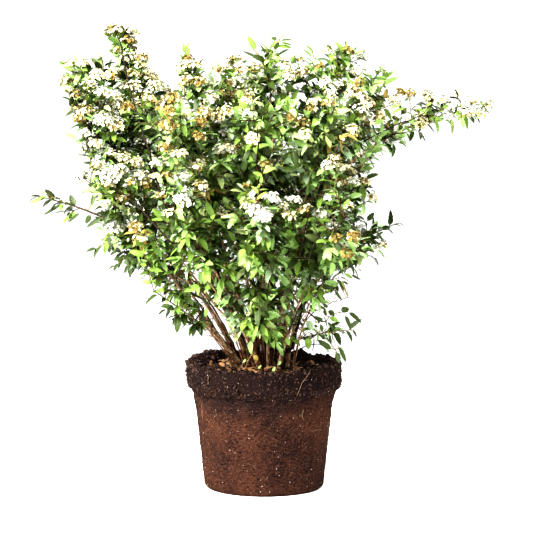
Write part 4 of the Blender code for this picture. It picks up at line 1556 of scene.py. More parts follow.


# The flower heads that show on the crown's front, noted on the photograph: the middle's x and y and the half
# width in its pixels, and how far each has faded.
HEADS = [
    # spire
    (109, 32, 8, .45), (120, 28, 9, .30), (132, 31, 8, .50), (116, 50, 5, .65), (143, 57, 6, .70),
    (133, 73, 6, .60), (150, 99, 8, .55), (156, 86, 9, .45),
    # shoulder
    (67, 65, 6, .50), (83, 62, 7, .45), (98, 75, 8, .40), (111, 75, 7, .60), (68, 90, 6, .40),
    (76, 95, 7, .75), (103, 93, 10, .10), (115, 96, 8, .50), (126, 106, 9, .80),
    (76, 108, 7, .75), (86, 110, 8, .55), (79, 119, 7, .80), (103, 120, 11, .05),
    (116, 126, 8, .60), (85, 134, 8, .15), (96, 144, 8, .40), (90, 84, 7, .40),
    # top left and the golden heads below it
    (183, 65, 9, .45), (196, 63, 7, .55), (186, 80, 9, .60), (199, 81, 8, .75),
    (217, 69, 6, .80), (229, 83, 6, .70), (242, 70, 7, .65), (209, 98, 9, .30),
    (247, 99, 6, .70), (224, 113, 10, .60), (206, 113, 10, .65), (201, 122, 8, .85),
    (199, 136, 7, .75), (173, 99, 9, .85), (168, 124, 11, .80), (170, 111, 8, .85),
    (252, 138, 8, .45), (264, 164, 6, .80),
    # lobe
    (112, 154, 7, .40), (123, 158, 8, .40), (135, 163, 9, .50), (110, 175, 12, .05),
    (97, 165, 7, .60), (141, 175, 9, .30), (146, 184, 7, .80), (131, 181, 6, .70),
    (159, 164, 9, .10), (166, 176, 8, .75), (179, 154, 8, .50), (184, 178, 10, .00),
    (183, 201, 10, .00), (201, 186, 9, .65), (199, 194, 7, .70), (196, 167, 6, .60),
    (169, 212, 6, .50), (161, 196, 6, .70), (104, 204, 6, .45), (136, 226, 8, .75),
    (140, 238, 7, .50), (121, 170, 8, .25),
    # middle
    (246, 186, 5, .80), (272, 198, 9, .20), (262, 215, 11, .00), (295, 200, 8, .30),
    (304, 209, 8, .65), (289, 215, 8, .55), (283, 206, 7, .35),
    # top right
    (289, 76, 7, .55), (286, 67, 7, .45), (299, 59, 6, .70), (301, 72, 8, .65),
    (319, 66, 5, .60), (330, 48, 7, .40), (348, 50, 6, .75), (362, 56, 7, .20),
    (360, 69, 8, .15), (359, 82, 6, .90), (353, 92, 8, .55), (337, 84, 7, .15),
    (331, 93, 7, .25), (362, 95, 7, .45), (328, 102, 7, .65), (314, 102, 7, .45),
    (311, 108, 6, .80), (362, 111, 9, .10), (368, 103, 7, .50), (368, 121, 8, .35),
    (353, 129, 7, .55), (290, 118, 6, .80), (305, 134, 7, .50), (334, 158, 6, .70),
    # branch
    (379, 115, 6, .75), (400, 91, 6, .70), (409, 94, 7, .75), (395, 101, 7, .40),
    (429, 98, 7, .60), (424, 93, 6, .45), (443, 100, 7, .45), (457, 94, 6, .50),
    (454, 105, 9, .10), (472, 101, 7, .45), (487, 105, 7, .55), (480, 110, 8, .15),
    (467, 111, 8, .15), (448, 115, 7, .15), (420, 125, 7, .60),
    # right
    (329, 166, 9, .30), (344, 168, 8, .45), (336, 160, 6, .80), (341, 182, 8, .75),
    (352, 183, 8, .15), (364, 181, 7, .60), (330, 197, 7, .15), (348, 206, 6, .40),
    (336, 238, 6, .85), (354, 236, 8, .80), (347, 253, 7, .85), (383, 244, 5, .95),
    (372, 197, 6, .50),
]


@dataclass
class Leaf:
    """One leaf: where it grows, how it lies, its length, its green, its form and its breadth."""

    root: Vector
    direction: Vector
    facing: Vector
    length: float
    tone: Tone
    form: int
    broad: float = 1.0


@dataclass
class Head:
    """One flower head: the end of its twig, the way it faces, its width and how far it faded."""

    root: Vector
    facing: Vector
    radius: float
    faded: float


@dataclass
class Growth:
    """Grows every mass again by the source's rule, and on to finer twigs."""

    skeleton: Skeleton
    seed: int = 41
    seeds_per_mass: int = 1000
    crown_foot: float = 0.30
    crown_rise: float = 0.50
    margin: float = -0.003
    pitch: float = 0.022
    angle_low: float = math.radians(62)
    angle_high: float = math.radians(34)
    lift: float = 0.35
    leaf_room: float = 0.026
    between: tuple[float, float] = (0.30, 0.80)
    shortest_shoot: float = 0.028
    shoot_radius: float = 0.0012
    spur_radius: float = 0.0007
    twig_end: float = 0.0005
    shorter: float = 0.85
    flowering_from: float = 0.65
    flowering_end: float = 0.026
    leafy_end: float = 0.050
    tip_gap: float = 0.015
    spur_pitch: float = 0.017
    spur_bloom: float = 0.22
    leaf_pitch: float = 0.0074
    leaf_length: tuple[float, float] = (0.018, 0.033)
    low_spurs: float = 0.013
    low_spur: tuple[float, float] = (0.010, 0.028)
    low_radii: tuple[float, float, float] = (0.0008, 0.0006, 0.0004)
    # Low spurs draw the deep green most often, partly painted shade.
    low_tones: tuple[float, ...] = (0.38, 0.34, 0.16, 0.10, 0.0, 0.02, 0.0)
    low_slack: float = 0.045
    inner_spurs: float = 0.018
    inner_spur: tuple[float, float] = (0.020, 0.045)
    inner_end: float = 0.86
    head_radius: tuple[float, float] = (0.0120, 0.0195)
    head_inside: float = 0.016
    head_below: float = 0.02
    head_spread: float = 0.030
    fade_spread: float = 0.30
    stalk_from: float = 0.0015
    stalk_radii: tuple[float, float, float] = (0.0007, 0.0005, 0.0004)
    carrier_steps: int = 6
    leaf_angle: float = math.radians(48)
    droop: float = 0.48
    spur: tuple[float, float] = (0.010, 0.026)
    slack: float = 0.004
    sprig_slack: float = 0.024
    bloom_from: float = 0.43
    bloom_rise: float = 0.08
    front_share: float = 0.30
    tips_from: float = 0.62
    ball_top: float = 0.236
    ball_radius: float = 0.146
    clear_of_ball: float = 0.035
    litter_pieces: int = 170
    litter_reach: float = 0.100
    litter_height: float = 0.2185
    litter_size: tuple[float, float] = (0.007, 0.020)
    litter_dry: float = 0.95
    leaves: list[Leaf] = field(default_factory=list)
    heads: list[Head] = field(default_factory=list)
    woody: list[Line] = field(default_factory=list)
    green: list[Line] = field(default_factory=list)
    wood: np.ndarray | None = None

    def fits(self, points: list[Vector], slack: float = 0.0) -> bool:
        """Whether the points are within the masses' reach and off the root ball.

        Args:
            points: The points.
            slack: How far past the reach they may be.

        Returns:
            Whether all of them fit.
        """
        for point in points:
            if point.z < self.ball_top and math.hypot(point.x, point.y) < self.ball_radius:
                return False
        return bool((self.skeleton.outside(np.array(points)) < slack).all())

    def height_share(self, where: Vector) -> float:
        """How high a place is in the crown, from 0 low down to 1 at the top."""
        return share_of(where.z, self.crown_foot, self.crown_rise)

    def tone(self, where: Vector, rng: random.Random) -> Tone:
        """A spray's green, drawn by height: the deep green, partly painted shade, is likelier low down, and
        the lit green, partly painted light, and the yellow-green of young tips are likelier towards the top.

        Args:
            where: Where it grows.
            rng: Its random numbers.

        Returns:
            The green.
        """
        high = self.height_share(where)
        weights = [0.36 - 0.14 * high, 0.30, 0.20 + 0.06 * high, 0.12, 0.01 + 0.10 * high, 0.01, 0.0]
        return rng.choices(list(Tone), weights)[0]

    def bloom(self, wand: Wand, where: Vector) -> float:
        """The share of twigs that flower at a place: none low down, few where the table rules."""
        ruled = self.front_share if where.y < wand.tip[1] * 0.5 + 0.02 else 1.0
        return wand.bloom * share_of(where.z, self.bloom_from, self.bloom_rise) * ruled

    def add_leaf(
        self, root: Vector, axis: Vector, angle: float, turn: float, size: float, tone: Tone,
        rng: random.Random, slack: float, to_front: float = 0.0,
    ) -> None:
        """One leaf on a stem, unless it would leave the mass's reach.

        Args:
            root: Where it grows.
            axis: The stem's direction there.
            angle: How far it leans from the stem.
            turn: To which side.
            size: Its length.
            tone: Its green.
            rng: The spray's own random numbers.
            slack: How far past the reach it may go.
            to_front: How strongly it turns its face to the front.
        """
        direction = turned_round(axis, angle, turn)
        droop = self.droop * (1.0 - 0.75 * self.height_share(root)) * rng.uniform(0.2, 1.4)
        direction = (direction - UP * droop).normalized()
        if not self.fits([root + direction * size * 0.6, root + direction * size], slack):
            direction = (direction + axis * 1.2).normalized()
            size *= 0.8
            if not self.fits([root + direction * size], slack):
                return
        out = Vector((root.x, root.y, 0.0)).normalized()
        facing = UP + out * 0.55 + any_way(rng) * 0.65 - Vector((0.0, to_front, 0.0))
        self.leaves.append(Leaf(root, direction, facing, size, tone, rng.randrange(4)))

    def add_head(self, wand: Wand, end: Vector, axis: Vector, rng: random.Random) -> bool:
        """A flower head on a twig's end, facing out and up.

        Args:
            wand: The wand that it belongs to.
            end: The twig's end.
            axis: The twig's direction there.
            rng: The spray's own random numbers.

        Returns:
            Whether there was room for it.
        """
        radius = rng.uniform(*self.head_radius)
        facing = (axis * 0.5 + UP * 0.9).normalized()
        middle = end + facing * radius * 0.6
        if not self.fits([middle + facing * radius * 0.3], self.margin):
            return False
        faded = min(1.0, max(0.0, rng.gauss(wand.faded, self.fade_spread)))
        self.heads.append(Head(end, facing, radius, faded))
        return True

    def leafy(
        self, line: Line, first: float, rng: random.Random, tone: Tone, size: float = 1.0,
        slack: float | None = None, upright_by: float = 1.0, to_front: float = 0.0,
    ) -> None:
        """Leaves along a stem and at its end.

        Args:
            line: The stem.
            first: The share of it that is bare.
            rng: The spray's own random numbers.
            tone: The spray's green.
            size: How large its leaves are against the usual.
            slack: How far past the reach they may go, or the usual.
            upright_by: What their lean is multiplied by.
            to_front: How strongly they turn their faces to the front.
        """
        spans = [(b - a).length for a, b in zip(line.points, line.points[1:])]
        length = sum(spans)
        count = max(1, round(length * (1.0 - first) / (self.leaf_pitch * size)))
        turn = rng.uniform(0.0, math.tau)
        for k in range(count + 1):
            share = first + (1.0 - first) * k / count
            away = share * length
            i = 0
            while i < len(spans) - 1 and away > spans[i]:
                away -= spans[i]
                i += 1
            axis = (line.points[i + 1] - line.points[i]).normalized()
            root = line.points[i] + axis * min(away, spans[i])
            turn += GOLDEN_TURN
            near_end = share > 0.85
            angle = self.leaf_angle * (0.55 if near_end else rng.uniform(0.85, 1.25)) * upright_by
            long = rng.uniform(*self.leaf_length) * size * (0.8 if near_end else 1.0)
            reach = self.slack if slack is None else slack
            self.add_leaf(root, axis, angle, turn, long, tone, rng, reach, to_front)

    def stem(
        self, base: Vector, direction: Vector, length: float, thick: float, lift: float
    ) -> Line | None:
        """A twig that lifts towards its tip, as long as there is room for it.

        Args:
            base: Where it starts.
            direction: Its direction there.
            length: How long it would like to be.
            thick: Its radius at its base.
            lift: How strongly it lifts.

        Returns:
            The twig's line, or None where there is no room.
        """
        lifted = (direction + UP * lift).normalized()
        while length > self.spur[0] * 0.8:
            middle = base + direction * length * 0.5
            end = middle + lifted * length * 0.5
            if self.fits([middle, end], self.margin):
                return bent(base, middle, end, thick, self.twig_end)
            length *= self.shorter
        return None

    def spur_on(
        self, wand: Wand, base: Vector, axis: Vector, turn: float, rng: random.Random, bloom: float
    ) -> None:
        """A short leafy spur, sometimes with a flower head.

        Args:
            wand: The wand that it belongs to.
            base: Where it grows.
            axis: The direction of what it grows on.
            turn: To which side it goes.
            rng: The spray's own random numbers.
            bloom: The share of such spurs that flower.
        """
        direction = turned_round(axis, rng.uniform(0.7, 1.2), turn)
        line = self.stem(base, direction, rng.uniform(*self.spur), self.spur_radius, 0.5)
        if line is None:
            return
        tone = self.tone(base, rng)
        self.green.append(line)
        axis = (line.points[-1] - line.points[-2]).normalized()
        rising = direction.z > -0.2
        if rising and rng.random() < bloom and self.add_head(wand, line.points[-1], axis, rng):
            self.leafy(line, 0.3, rng, tone, 0.9)
        else:
            self.leafy(line, 0.1, rng, tone)

    def shoot_on(
        self, wand: Wand, base: Vector, direction: Vector, length: float, rng: random.Random
    ) -> None:
        """A side shoot with its spurs, leaves and flower head.

        Args:
            wand: The wand that it belongs to.
            base: Where it grows from the leader.
            direction: Its direction there.
            length: How long it would like to be.
            rng: Its own random numbers.
        """
        line = self.stem(base, direction, length, self.shoot_radius, self.lift)
        if line is None:
            return
        self.woody.append(line)
        tone = self.tone(line.points[-1], rng)
        bloom = self.bloom(wand, line.points[-1])
        axis = (line.points[-1] - line.points[-2]).normalized()
        if rng.random() < bloom:
            self.add_head(wand, line.points[-1], axis, rng)
        self.leafy(line, 0.15, rng, tone)
        count = int(length / self.spur_pitch)
        for k in range(count):
            t = (k + 0.8) / (count + 0.6)
            i = min(3, int(t * 4))
            place = line.points[i].lerp(line.points[i + 1], t * 4 - i)
            turn = k * math.pi + rng.uniform(0, 1.5)
            self.spur_on(wand, place, direction, turn, rng, bloom * self.spur_bloom)

    def grow_wand(self, index: int, wand: Wand) -> None:
        """One whole mass: its leader's nodes, the shoots on them and shorter ones between.

        Args:
            index: The wand's place in the table, which seeds it.
            wand: The wand.
        """
        arc = self.skeleton.arcs[wand.name]
        flowering = wand.bloom > self.flowering_from
        last = 1.0 - (self.flowering_end if flowering else self.leafy_end) / arc.length
        run = arc.length * (last - wand.bare)
        for k in range(1, int(run / self.pitch)):
            rng = random.Random(self.seed + self.seeds_per_mass * index + k)
            turn = k * GOLDEN_TURN + index
            if wand.lost and rng.random() < wand.lost:
                continue
            for late in (0.0, 0.5):
                s = (k + late) * self.pitch / run
                t = wand.bare + (last - wand.bare) * s
                base, axis = arc.point(t), arc.direction(t)
                angle = self.angle_low + (self.angle_high - self.angle_low) * s
                room = wand.spread * wand.slim * self.skeleton.width_share(s) - self.leaf_room
                length = max(self.shortest_shoot, room / math.sin(angle)) * rng.uniform(0.75, 1.05)
                if late:
                    length *= rng.uniform(*self.between)
                heading = turned_round(axis, angle, turn + late * math.tau)
                self.shoot_on(wand, base, heading, length, rng)
        self.grow_low(index, wand)
        self.grow_inside(index, wand)
        rng = random.Random(self.seed + self.seeds_per_mass * index)
        end = 1.0 - self.tip_gap / arc.length
        tip, heading = arc.point(end), arc.direction(end)
        line = Line([arc.point(last - 0.06), arc.point((last + end) / 2), tip], [0.001] * 3)
        if flowering:
            self.add_head(wand, tip, heading, rng)
        # A flowering tip takes the lit green, partly painted light; a plain one high up the yellow-green of
        # young growth, and low down the deep green, partly painted shade.
        plain = TIP if tip.z > self.tips_from else DEEP
        self.leafy(line, 0.0, rng, BRIGHT if flowering else plain)

    def grow_low(self, index: int, wand: Wand) -> None:
        """Small leafy spurs on the upper half of a limb's bare part.

        Args:
            index: The wand's place in the table, which seeds it.
            wand: The wand.
        """
        arc = self.skeleton.arcs[wand.name]
        rng = random.Random(self.seed * Draw.LOW.value + index)
        first = min(0.25, wand.clean) if wand.parent else wand.clean
        for _ in range(int(arc.length * wand.bare * (1.0 - first) / self.low_spurs)):
            t = wand.bare * (first + (1.0 - first) * rng.random())
            base, axis = arc.point(t), arc.direction(t)
            way = turned_round(axis, rng.uniform(0.6, 1.2), rng.uniform(0.0, math.tau))
            end = base + way * rng.uniform(*self.low_spur)
            if end.z < self.ball_top + self.clear_of_ball:
                continue
            line = Line([base, base.lerp(end, 0.5) + UP * 0.002, end], list(self.low_radii))
            self.green.append(line)
            tone = rng.choices(list(Tone), self.low_tones)[0]
            self.leafy(line, 0.4, rng, tone, 0.85, self.low_slack)

    def grow_inside(self, index: int, wand: Wand) -> None:
        """Deep green leaves on short twigs close to the leader, where little light falls: their darkness is
        painted shade.

        Args:
            index: The wand's place in the table, which seeds it.
            wand: The wand.
        """
        arc = self.skeleton.arcs[wand.name]
        rng = random.Random(self.seed * Draw.INSIDE.value + index)
        run = arc.length * (self.inner_end - wand.bare) * (1.0 - wand.lost)
        for _ in range(int(run / self.inner_spurs)):
            t = rng.uniform(wand.bare, self.inner_end)
            way = turned_round(arc.direction(t), rng.uniform(0.6, 1.3), rng.uniform(0.0, math.tau))
            line = self.stem(arc.point(t), way, rng.uniform(*self.inner_spur), 0.0008, 0.2)
            if line is not None:
                self.woody.append(line)
                self.leafy(line, 0.3, rng, DEEP)

    def grow_sprig(self, index: int, sprig: Sprig) -> None:
        """One shoot that stands out of the crown or hangs from it.

        Args:
            index: Its place in the table, which seeds it.
            sprig: The shoot.
        """
        rng = random.Random(self.seed * Draw.SPRIG.value + index)
        root, tip = Vector(sprig.root), Vector(sprig.tip)
        middle = (root + tip) / 2 + UP * sprig.bow * (tip - root).length
        line = bent(root, middle, tip, 0.0010, self.twig_end, 8)
        self.green.append(line)
        lean = 0.8 if tip.z > root.z else 1.1
        self.leafy(line, 0.1, rng, sprig.tone, sprig.size, self.sprig_slack, lean, 1.0)

    def grow_cluster(self, index: int, at: Vector, radius: float, faded: float) -> None:
        """One flower head of the table, on a leafy twig from the nearest limb below it.

        Args:
            index: Its place in the table, which seeds it.
            at: The head's middle.
            radius: Its half width.
            faded: How far it has faded.
        """
        rng = random.Random(self.seed * Draw.CLUSTER.value + index)
        axes = self.skeleton.axes.reshape(-1, 3)
        cost = np.linalg.norm(axes - np.array(at), axis=1)
        cost += self.skeleton.above_cost * np.maximum(0.0, axes[:, 2] - at.z + self.head_below)
        cost += np.random.default_rng(index).uniform(0.0, self.head_spread, len(cost))
        base = Vector(axes[int(cost.argmin())])
        out = (at - base).normalized()
        facing = (out * 0.55 + UP * 0.85 + Vector((0.0, -0.15, 0.0))).normalized()
        end = at - facing * radius * 0.5
        knee = base.lerp(end, 0.55) - facing * (end - base).length * 0.12
        line = bent(base, knee, end, 0.0009, self.twig_end)
        self.woody.append(line)
        self.leafy(line, 0.15, rng, self.tone(end, rng), 0.9)
        self.heads.append(Head(end, facing, radius, faded))

    def carriers(self) -> np.ndarray:
        """Places all along the limbs and the noted twigs, which carry the noted leaves.

        Returns:
            The places, one a row.
        """
        twigs = [line.points for look in Look for line in placed_twigs(look, self.skeleton)]
        between = [
            first.lerp(second, k / self.carrier_steps)
            for points in twigs
            for first, second in zip(points, points[1:])
            for k in range(self.carrier_steps + 1)
        ]
        return np.vstack([self.skeleton.wood, np.array(between)])

    def grow_lone(self, index: int, root: Vector, tip: Vector, broad: float, tone: Tone) -> None:
        """One noted leaf, with its face to the front, on a stalk from what carries it.

        Args:
            index: Its place among the noted leaves, which seeds it.
            root: Where it grows.
            tip: Its tip.
            broad: Its breadth against the usual.
            tone: Its green.
        """
        rng = random.Random(self.seed * Draw.LONE.value + index)
        way = tip - root
        facing = Vector((rng.uniform(-0.3, 0.3), -1.0, rng.uniform(0.1, 0.7)))
        form = rng.randrange(4)
        self.leaves.append(Leaf(root, way.normalized(), facing, way.length, tone, form, broad))
        base = self.skeleton.nearest(root, self.wood)
        if (root - base).length > self.stalk_from:
            knee = base.lerp(root, 0.55) - way * 0.25
            self.green.append(Line([base, knee, root], list(self.stalk_radii)))

    def litter(self) -> None:
        """Dry leaves and bark scraps on the soil among the feet of the canes."""
        rng = random.Random(self.seed * Draw.LITTER.value)
        for _ in range(self.litter_pieces):
            around, away = rng.uniform(0.0, math.tau), self.litter_reach * math.sqrt(rng.random())
            root = Vector((away * math.cos(around), away * math.sin(around), self.litter_height))
            direction = any_way(rng, -0.1, 0.5).normalized()
            facing = UP + flat_way(rng) * 0.8
            size = rng.uniform(*self.litter_size)
            tone = DRY if rng.random() < self.litter_dry else YELLOW
            self.leaves.append(Leaf(root, direction, facing, size, tone, rng.randrange(4)))

    def grow(self) -> None:
        """Every mass, the single shoots, the noted heads and leaves, and the litter."""
        for index, wand in enumerate(WANDS):
            self.grow_wand(index, wand)
        for index, sprig in enumerate(SPRIGS):
            self.grow_sprig(index, sprig)
        for index, (x, y, radius, faded) in enumerate(HEADS):
            at = SIGHT.on_crown(x, y, self.skeleton, self.head_inside)
            self.grow_cluster(index, at, radius * (at.y - SIGHT.eye[1]) / SIGHT.metre, faded)
        self.wood = self.carriers()
        noted = [leaf for part in ENLARGEMENTS for leaf in part.placed_leaves()]
        for index, leaf in enumerate(noted):
            self.grow_lone(index, *leaf)
        self.litter()
        log.info("%d leaves, %d flower heads, %d twigs", len(self.leaves), len(self.heads),
                 len(self.woody) + len(self.green))


@dataclass
class Foliage:
    """The twigs and leaves."""

    growth: Growth
    rows: int = 10
    width: float = LEAF_WIDTH
    teeth: float = 0.16
    toothed_from: float = 0.42
    # The deep green doubles as painted shade, the lit green as painted light and the greyish green as a
    # painted sky reflection.
    tones: tuple[LeafFinish, ...] = (
        LeafFinish(DEEP, (52, 68, 16)),
        LeafFinish(MID, (114, 141, 60)),
        LeafFinish(BRIGHT, (150, 183, 108)),
        LeafFinish(GREY, (140, 160, 122)),
        LeafFinish(TIP, (158, 174, 112)),
        LeafFinish(YELLOW, (168, 146, 76)),
        LeafFinish(DRY, (136, 102, 68), 0.8),
    )

    def blade(self, curl: float, fold: float, twist: float) -> bpy.types.Mesh:
        """A leaf one unit long with a toothed outer half, lying along +Y.

        Args:
            curl: How far its tip bends down.
            fold: How far its halves rise from the midrib.
            twist: How far it turns along its length.

        Returns:
            The mesh.
        """
        bm = new_bmesh()
        made = bmesh.ops.create_grid(
            bm, x_segments=2, y_segments=self.rows, size=0.5, calc_uvs=True
        )["verts"]
        for vert in made:
            side, v = round(vert.co.x * 2), vert.co.y + 0.5
            row = round(v * self.rows)
            half = 0.5 * self.width * math.sin(math.pi * v**0.9) ** 0.75 if 0 < v < 1 else 0.0
            if row == 1:
                half *= 0.35
            notched = v > self.toothed_from and row % 2
            if notched and row < self.rows:
                half *= 1.0 - self.teeth
            turn = twist * v
            x, z = side * half, abs(side) * half * fold
            vert.co = Vector((
                x * math.cos(turn) - z * math.sin(turn),
                v - (0.012 if notched else 0.0),
                x * math.sin(turn) + z * math.cos(turn) - curl * v * v,
            ))
        bmesh.ops.remove_doubles(bm, verts=bm.verts, dist=0.0005)
        return mesh_of(bm, "blade")

    def build(self) -> None:
        """Makes the twigs and one piece of leaves for each green."""
        wood = MottledFinish("twig_bark", (60, 40, 30), (112, 80, 56), 220.0, 0.75)
        stem = MottledFinish("green_stem", (132, 130, 68), (128, 92, 58), 180.0, 0.6)
        green = self.growth.green + placed_twigs(GREEN, self.growth.skeleton)
        pieces = (("twigs_woody", self.growth.woody, wood), ("twigs_green", green, stem))
        for name, lines, finish in pieces:
            add_piece(name, tubes(name, lines), finish.build(), FOLIAGE_NODES)
        forms = [
            self.blade(0.10, 0.35, 0.0), self.blade(0.24, 0.25, 0.25),
            self.blade(0.16, 0.50, -0.3), self.blade(0.34, 0.15, 0.1),
        ]
        for finish in self.tones:
            places = [[] for _ in forms]
            for leaf in self.growth.leaves:
                if leaf.tone is finish.tone:
                    turn = upright(leaf.direction, leaf.facing)
                    turn = turn @ Matrix.Diagonal((leaf.broad, 1.0, 1.0)) * leaf.length
                    places[leaf.form].append(placement(turn, leaf.root))
            mesh = joined_copies("leaves_" + finish.tone.value, forms, places)
            add_piece(mesh.name, mesh, finish.build(), FOLIAGE_NODES)


@dataclass
class Blossom:
    """The flower heads: domes of small five-petalled flowers on thin stalks."""

    growth: Growth
    flowers: float = 50.0
    full_radius: float = 0.018
    flower: float = 0.0034
    spread: float = math.radians(78)
    fewest: int = 7
    cream_from: float = 0.36
    faded_from: float = 0.70
    stalk_radius: float = 0.0003
    largest_piece: int = 5500
    seed: int = 7
    petals: tuple[PetalFinish, ...] = (
        PetalFinish(Age.FRESH, (200, 202, 192), (182, 182, 160)),
        PetalFinish(Age.CREAM, (198, 193, 156), (174, 161, 113)),
        PetalFinish(Age.FADED, (130, 112, 60), (84, 69, 36)),
    )

    def petal_ring(self, cup: float, wave: float) -> bpy.types.Mesh:
        """Five round petals, one unit long, round +Z.

        Args:
            cup: How far they rise towards their tips.
            wave: How unevenly they rise.

        Returns:
            The mesh.
        """
        bm = new_bmesh()
        for k in range(5):
            made = bmesh.ops.create_grid(
                bm, x_segments=2, y_segments=2, size=0.5, calc_uvs=True
            )["verts"]
            turn = math.tau * k / 5
            lift = cup + wave * math.sin(k * 2.4)
            for vert in made:
                side, v = round(vert.co.x * 2), vert.co.y + 0.5
                half = (0.0, 0.52, 0.34)[round(v * 2)]
                x, y = side * half, 0.08 + 0.92 * v - (0.10 * v if side else 0.0)
                vert.co = Vector((
                    x * math.cos(turn) - y * math.sin(turn),
                    x * math.sin(turn) + y * math.cos(turn),
                    lift * y * y + (0.10 * v if side else 0.0),
                ))
        bmesh.ops.remove_doubles(bm, verts=bm.verts, dist=0.001)
        return mesh_of(bm, "petals")

    def eye(self) -> bpy.types.Mesh:
        """A flower's raised middle, for petals one unit long.

        Returns:
            The mesh.
        """
        bm = new_bmesh()
        bmesh.ops.create_cone(
            bm, cap_ends=False, segments=5, radius1=0.30, radius2=0.02, depth=0.24, calc_uvs=True,
            matrix=Matrix.Translation((0.0, 0.0, 0.12)),
        )
        bmesh.ops.remove_doubles(bm, verts=bm.verts, dist=0.05)
        return mesh_of(bm, "eye")

    def stalk(self) -> bpy.types.Mesh:
        """A three-sided stalk one unit long along +Z and one unit in radius.

        Returns:
            The mesh.
        """
        bm = new_bmesh()
        bmesh.ops.create_cone(
            bm, cap_ends=False, segments=3, radius1=1.0, radius2=0.8, depth=1.0, calc_uvs=True,
            matrix=Matrix.Translation((0.0, 0.0, 0.5)),
        )
        return mesh_of(bm, "stalk")

    def joined(
        self, name: str, masters: list[bpy.types.Mesh], places: list[list[np.ndarray]],
        finish: bpy.types.Material,
    ) -> None:
        """Joins placed copies into pieces that aren't too large.

        Args:
            name: The pieces' name.
            masters: The small meshes.
            places: Each one's places.
            finish: The pieces' material.
        """
        total = sum(len(part) for part in places)
        parts = math.ceil(total / self.largest_piece)
        for k in range(parts):
            label = name if parts == 1 else f"{name}_{k + 1}"
            mesh = joined_copies(label, masters, [part[k::parts] for part in places])
            add_piece(label, mesh, finish, FOLIAGE_NODES)

    def build(self) -> None:
        """Makes the petals, the eyes and the stalks."""
        rng = random.Random(self.seed)
        rings = [self.petal_ring(0.25, 0.1), self.petal_ring(0.60, 0.15), self.petal_ring(0.0, 0.2)]
        places: dict[Age, list[list[np.ndarray]]] = {age: [[] for _ in rings] for age in Age}
        eyes: dict[bool, list[np.ndarray]] = {True: [], False: []}
        stalks: list[np.ndarray] = []
        for head in self.growth.heads:
            share = (head.radius / self.full_radius) ** 2
            count = max(self.fewest, round(self.flowers * share * rng.uniform(0.85, 1.15)))
            for k in range(count):
                lean = self.spread * math.sqrt((k + 0.5) / count)
                way = turned_round(head.facing, lean, k * GOLDEN_TURN + rng.uniform(-0.25, 0.25))
                reach = head.radius * rng.uniform(0.66, 1.12)
                spot = head.root + way * reach + head.facing * head.radius * 0.12
                face = (way + head.facing * 0.35 + any_way(rng) * 0.50).normalized()
                size = self.flower * rng.uniform(0.80, 1.15)
                spin = Matrix.Rotation(rng.uniform(0, math.tau), 3, "Z")
                turn = face.to_track_quat("Z", "Y").to_matrix() @ spin * size
                place = placement(turn, spot)
                draw = head.faded + rng.gauss(0.0, 0.13)
                fading = draw > self.cream_from
                age = Age.CREAM if fading else Age.FRESH
                if draw > self.faded_from:
                    age = Age.FADED
                places[age][rng.randrange(3)].append(place)
                eyes[fading].append(place)
                rod = spot - head.root
                turn = rod.to_track_quat("Z", "Y").to_matrix()
                turn = turn @ Matrix.Diagonal((self.stalk_radius, self.stalk_radius, rod.length))
                stalks.append(placement(turn, head.root))
        for finish in self.petals:
            self.joined("petals_" + finish.age.value, rings, places[finish.age], finish.build())
        old = MottledFinish("eye_brown", (112, 82, 42), (72, 50, 28), 400.0, 0.8)
        young = MottledFinish("eye_yellow", (166, 154, 84), (128, 112, 58), 400.0, 0.7)
        self.joined("flower_eyes_old", [self.eye()], [eyes[True]], old.build())
        self.joined("flower_eyes_young", [self.eye()], [eyes[False]], young.build())
        green = MottledFinish("flower_stalk", (112, 128, 58), (140, 118, 66), 300.0, 0.6)
        self.joined("flower_stalks", [self.stalk()], [stalks], green.build())


PALE_ROOTS = [
    [(0.080, 0.2235), (0.073, 0.2140), (0.066, 0.2055), (0.0625, 0.1950), (0.0585, 0.1870),
     (0.056, 0.1780)],
    [(-0.0965, 0.2160), (-0.0985, 0.2080), (-0.0975, 0.2000)],
    [(0.070, 0.1560), (0.067, 0.1480), (0.069, 0.1390)],
]


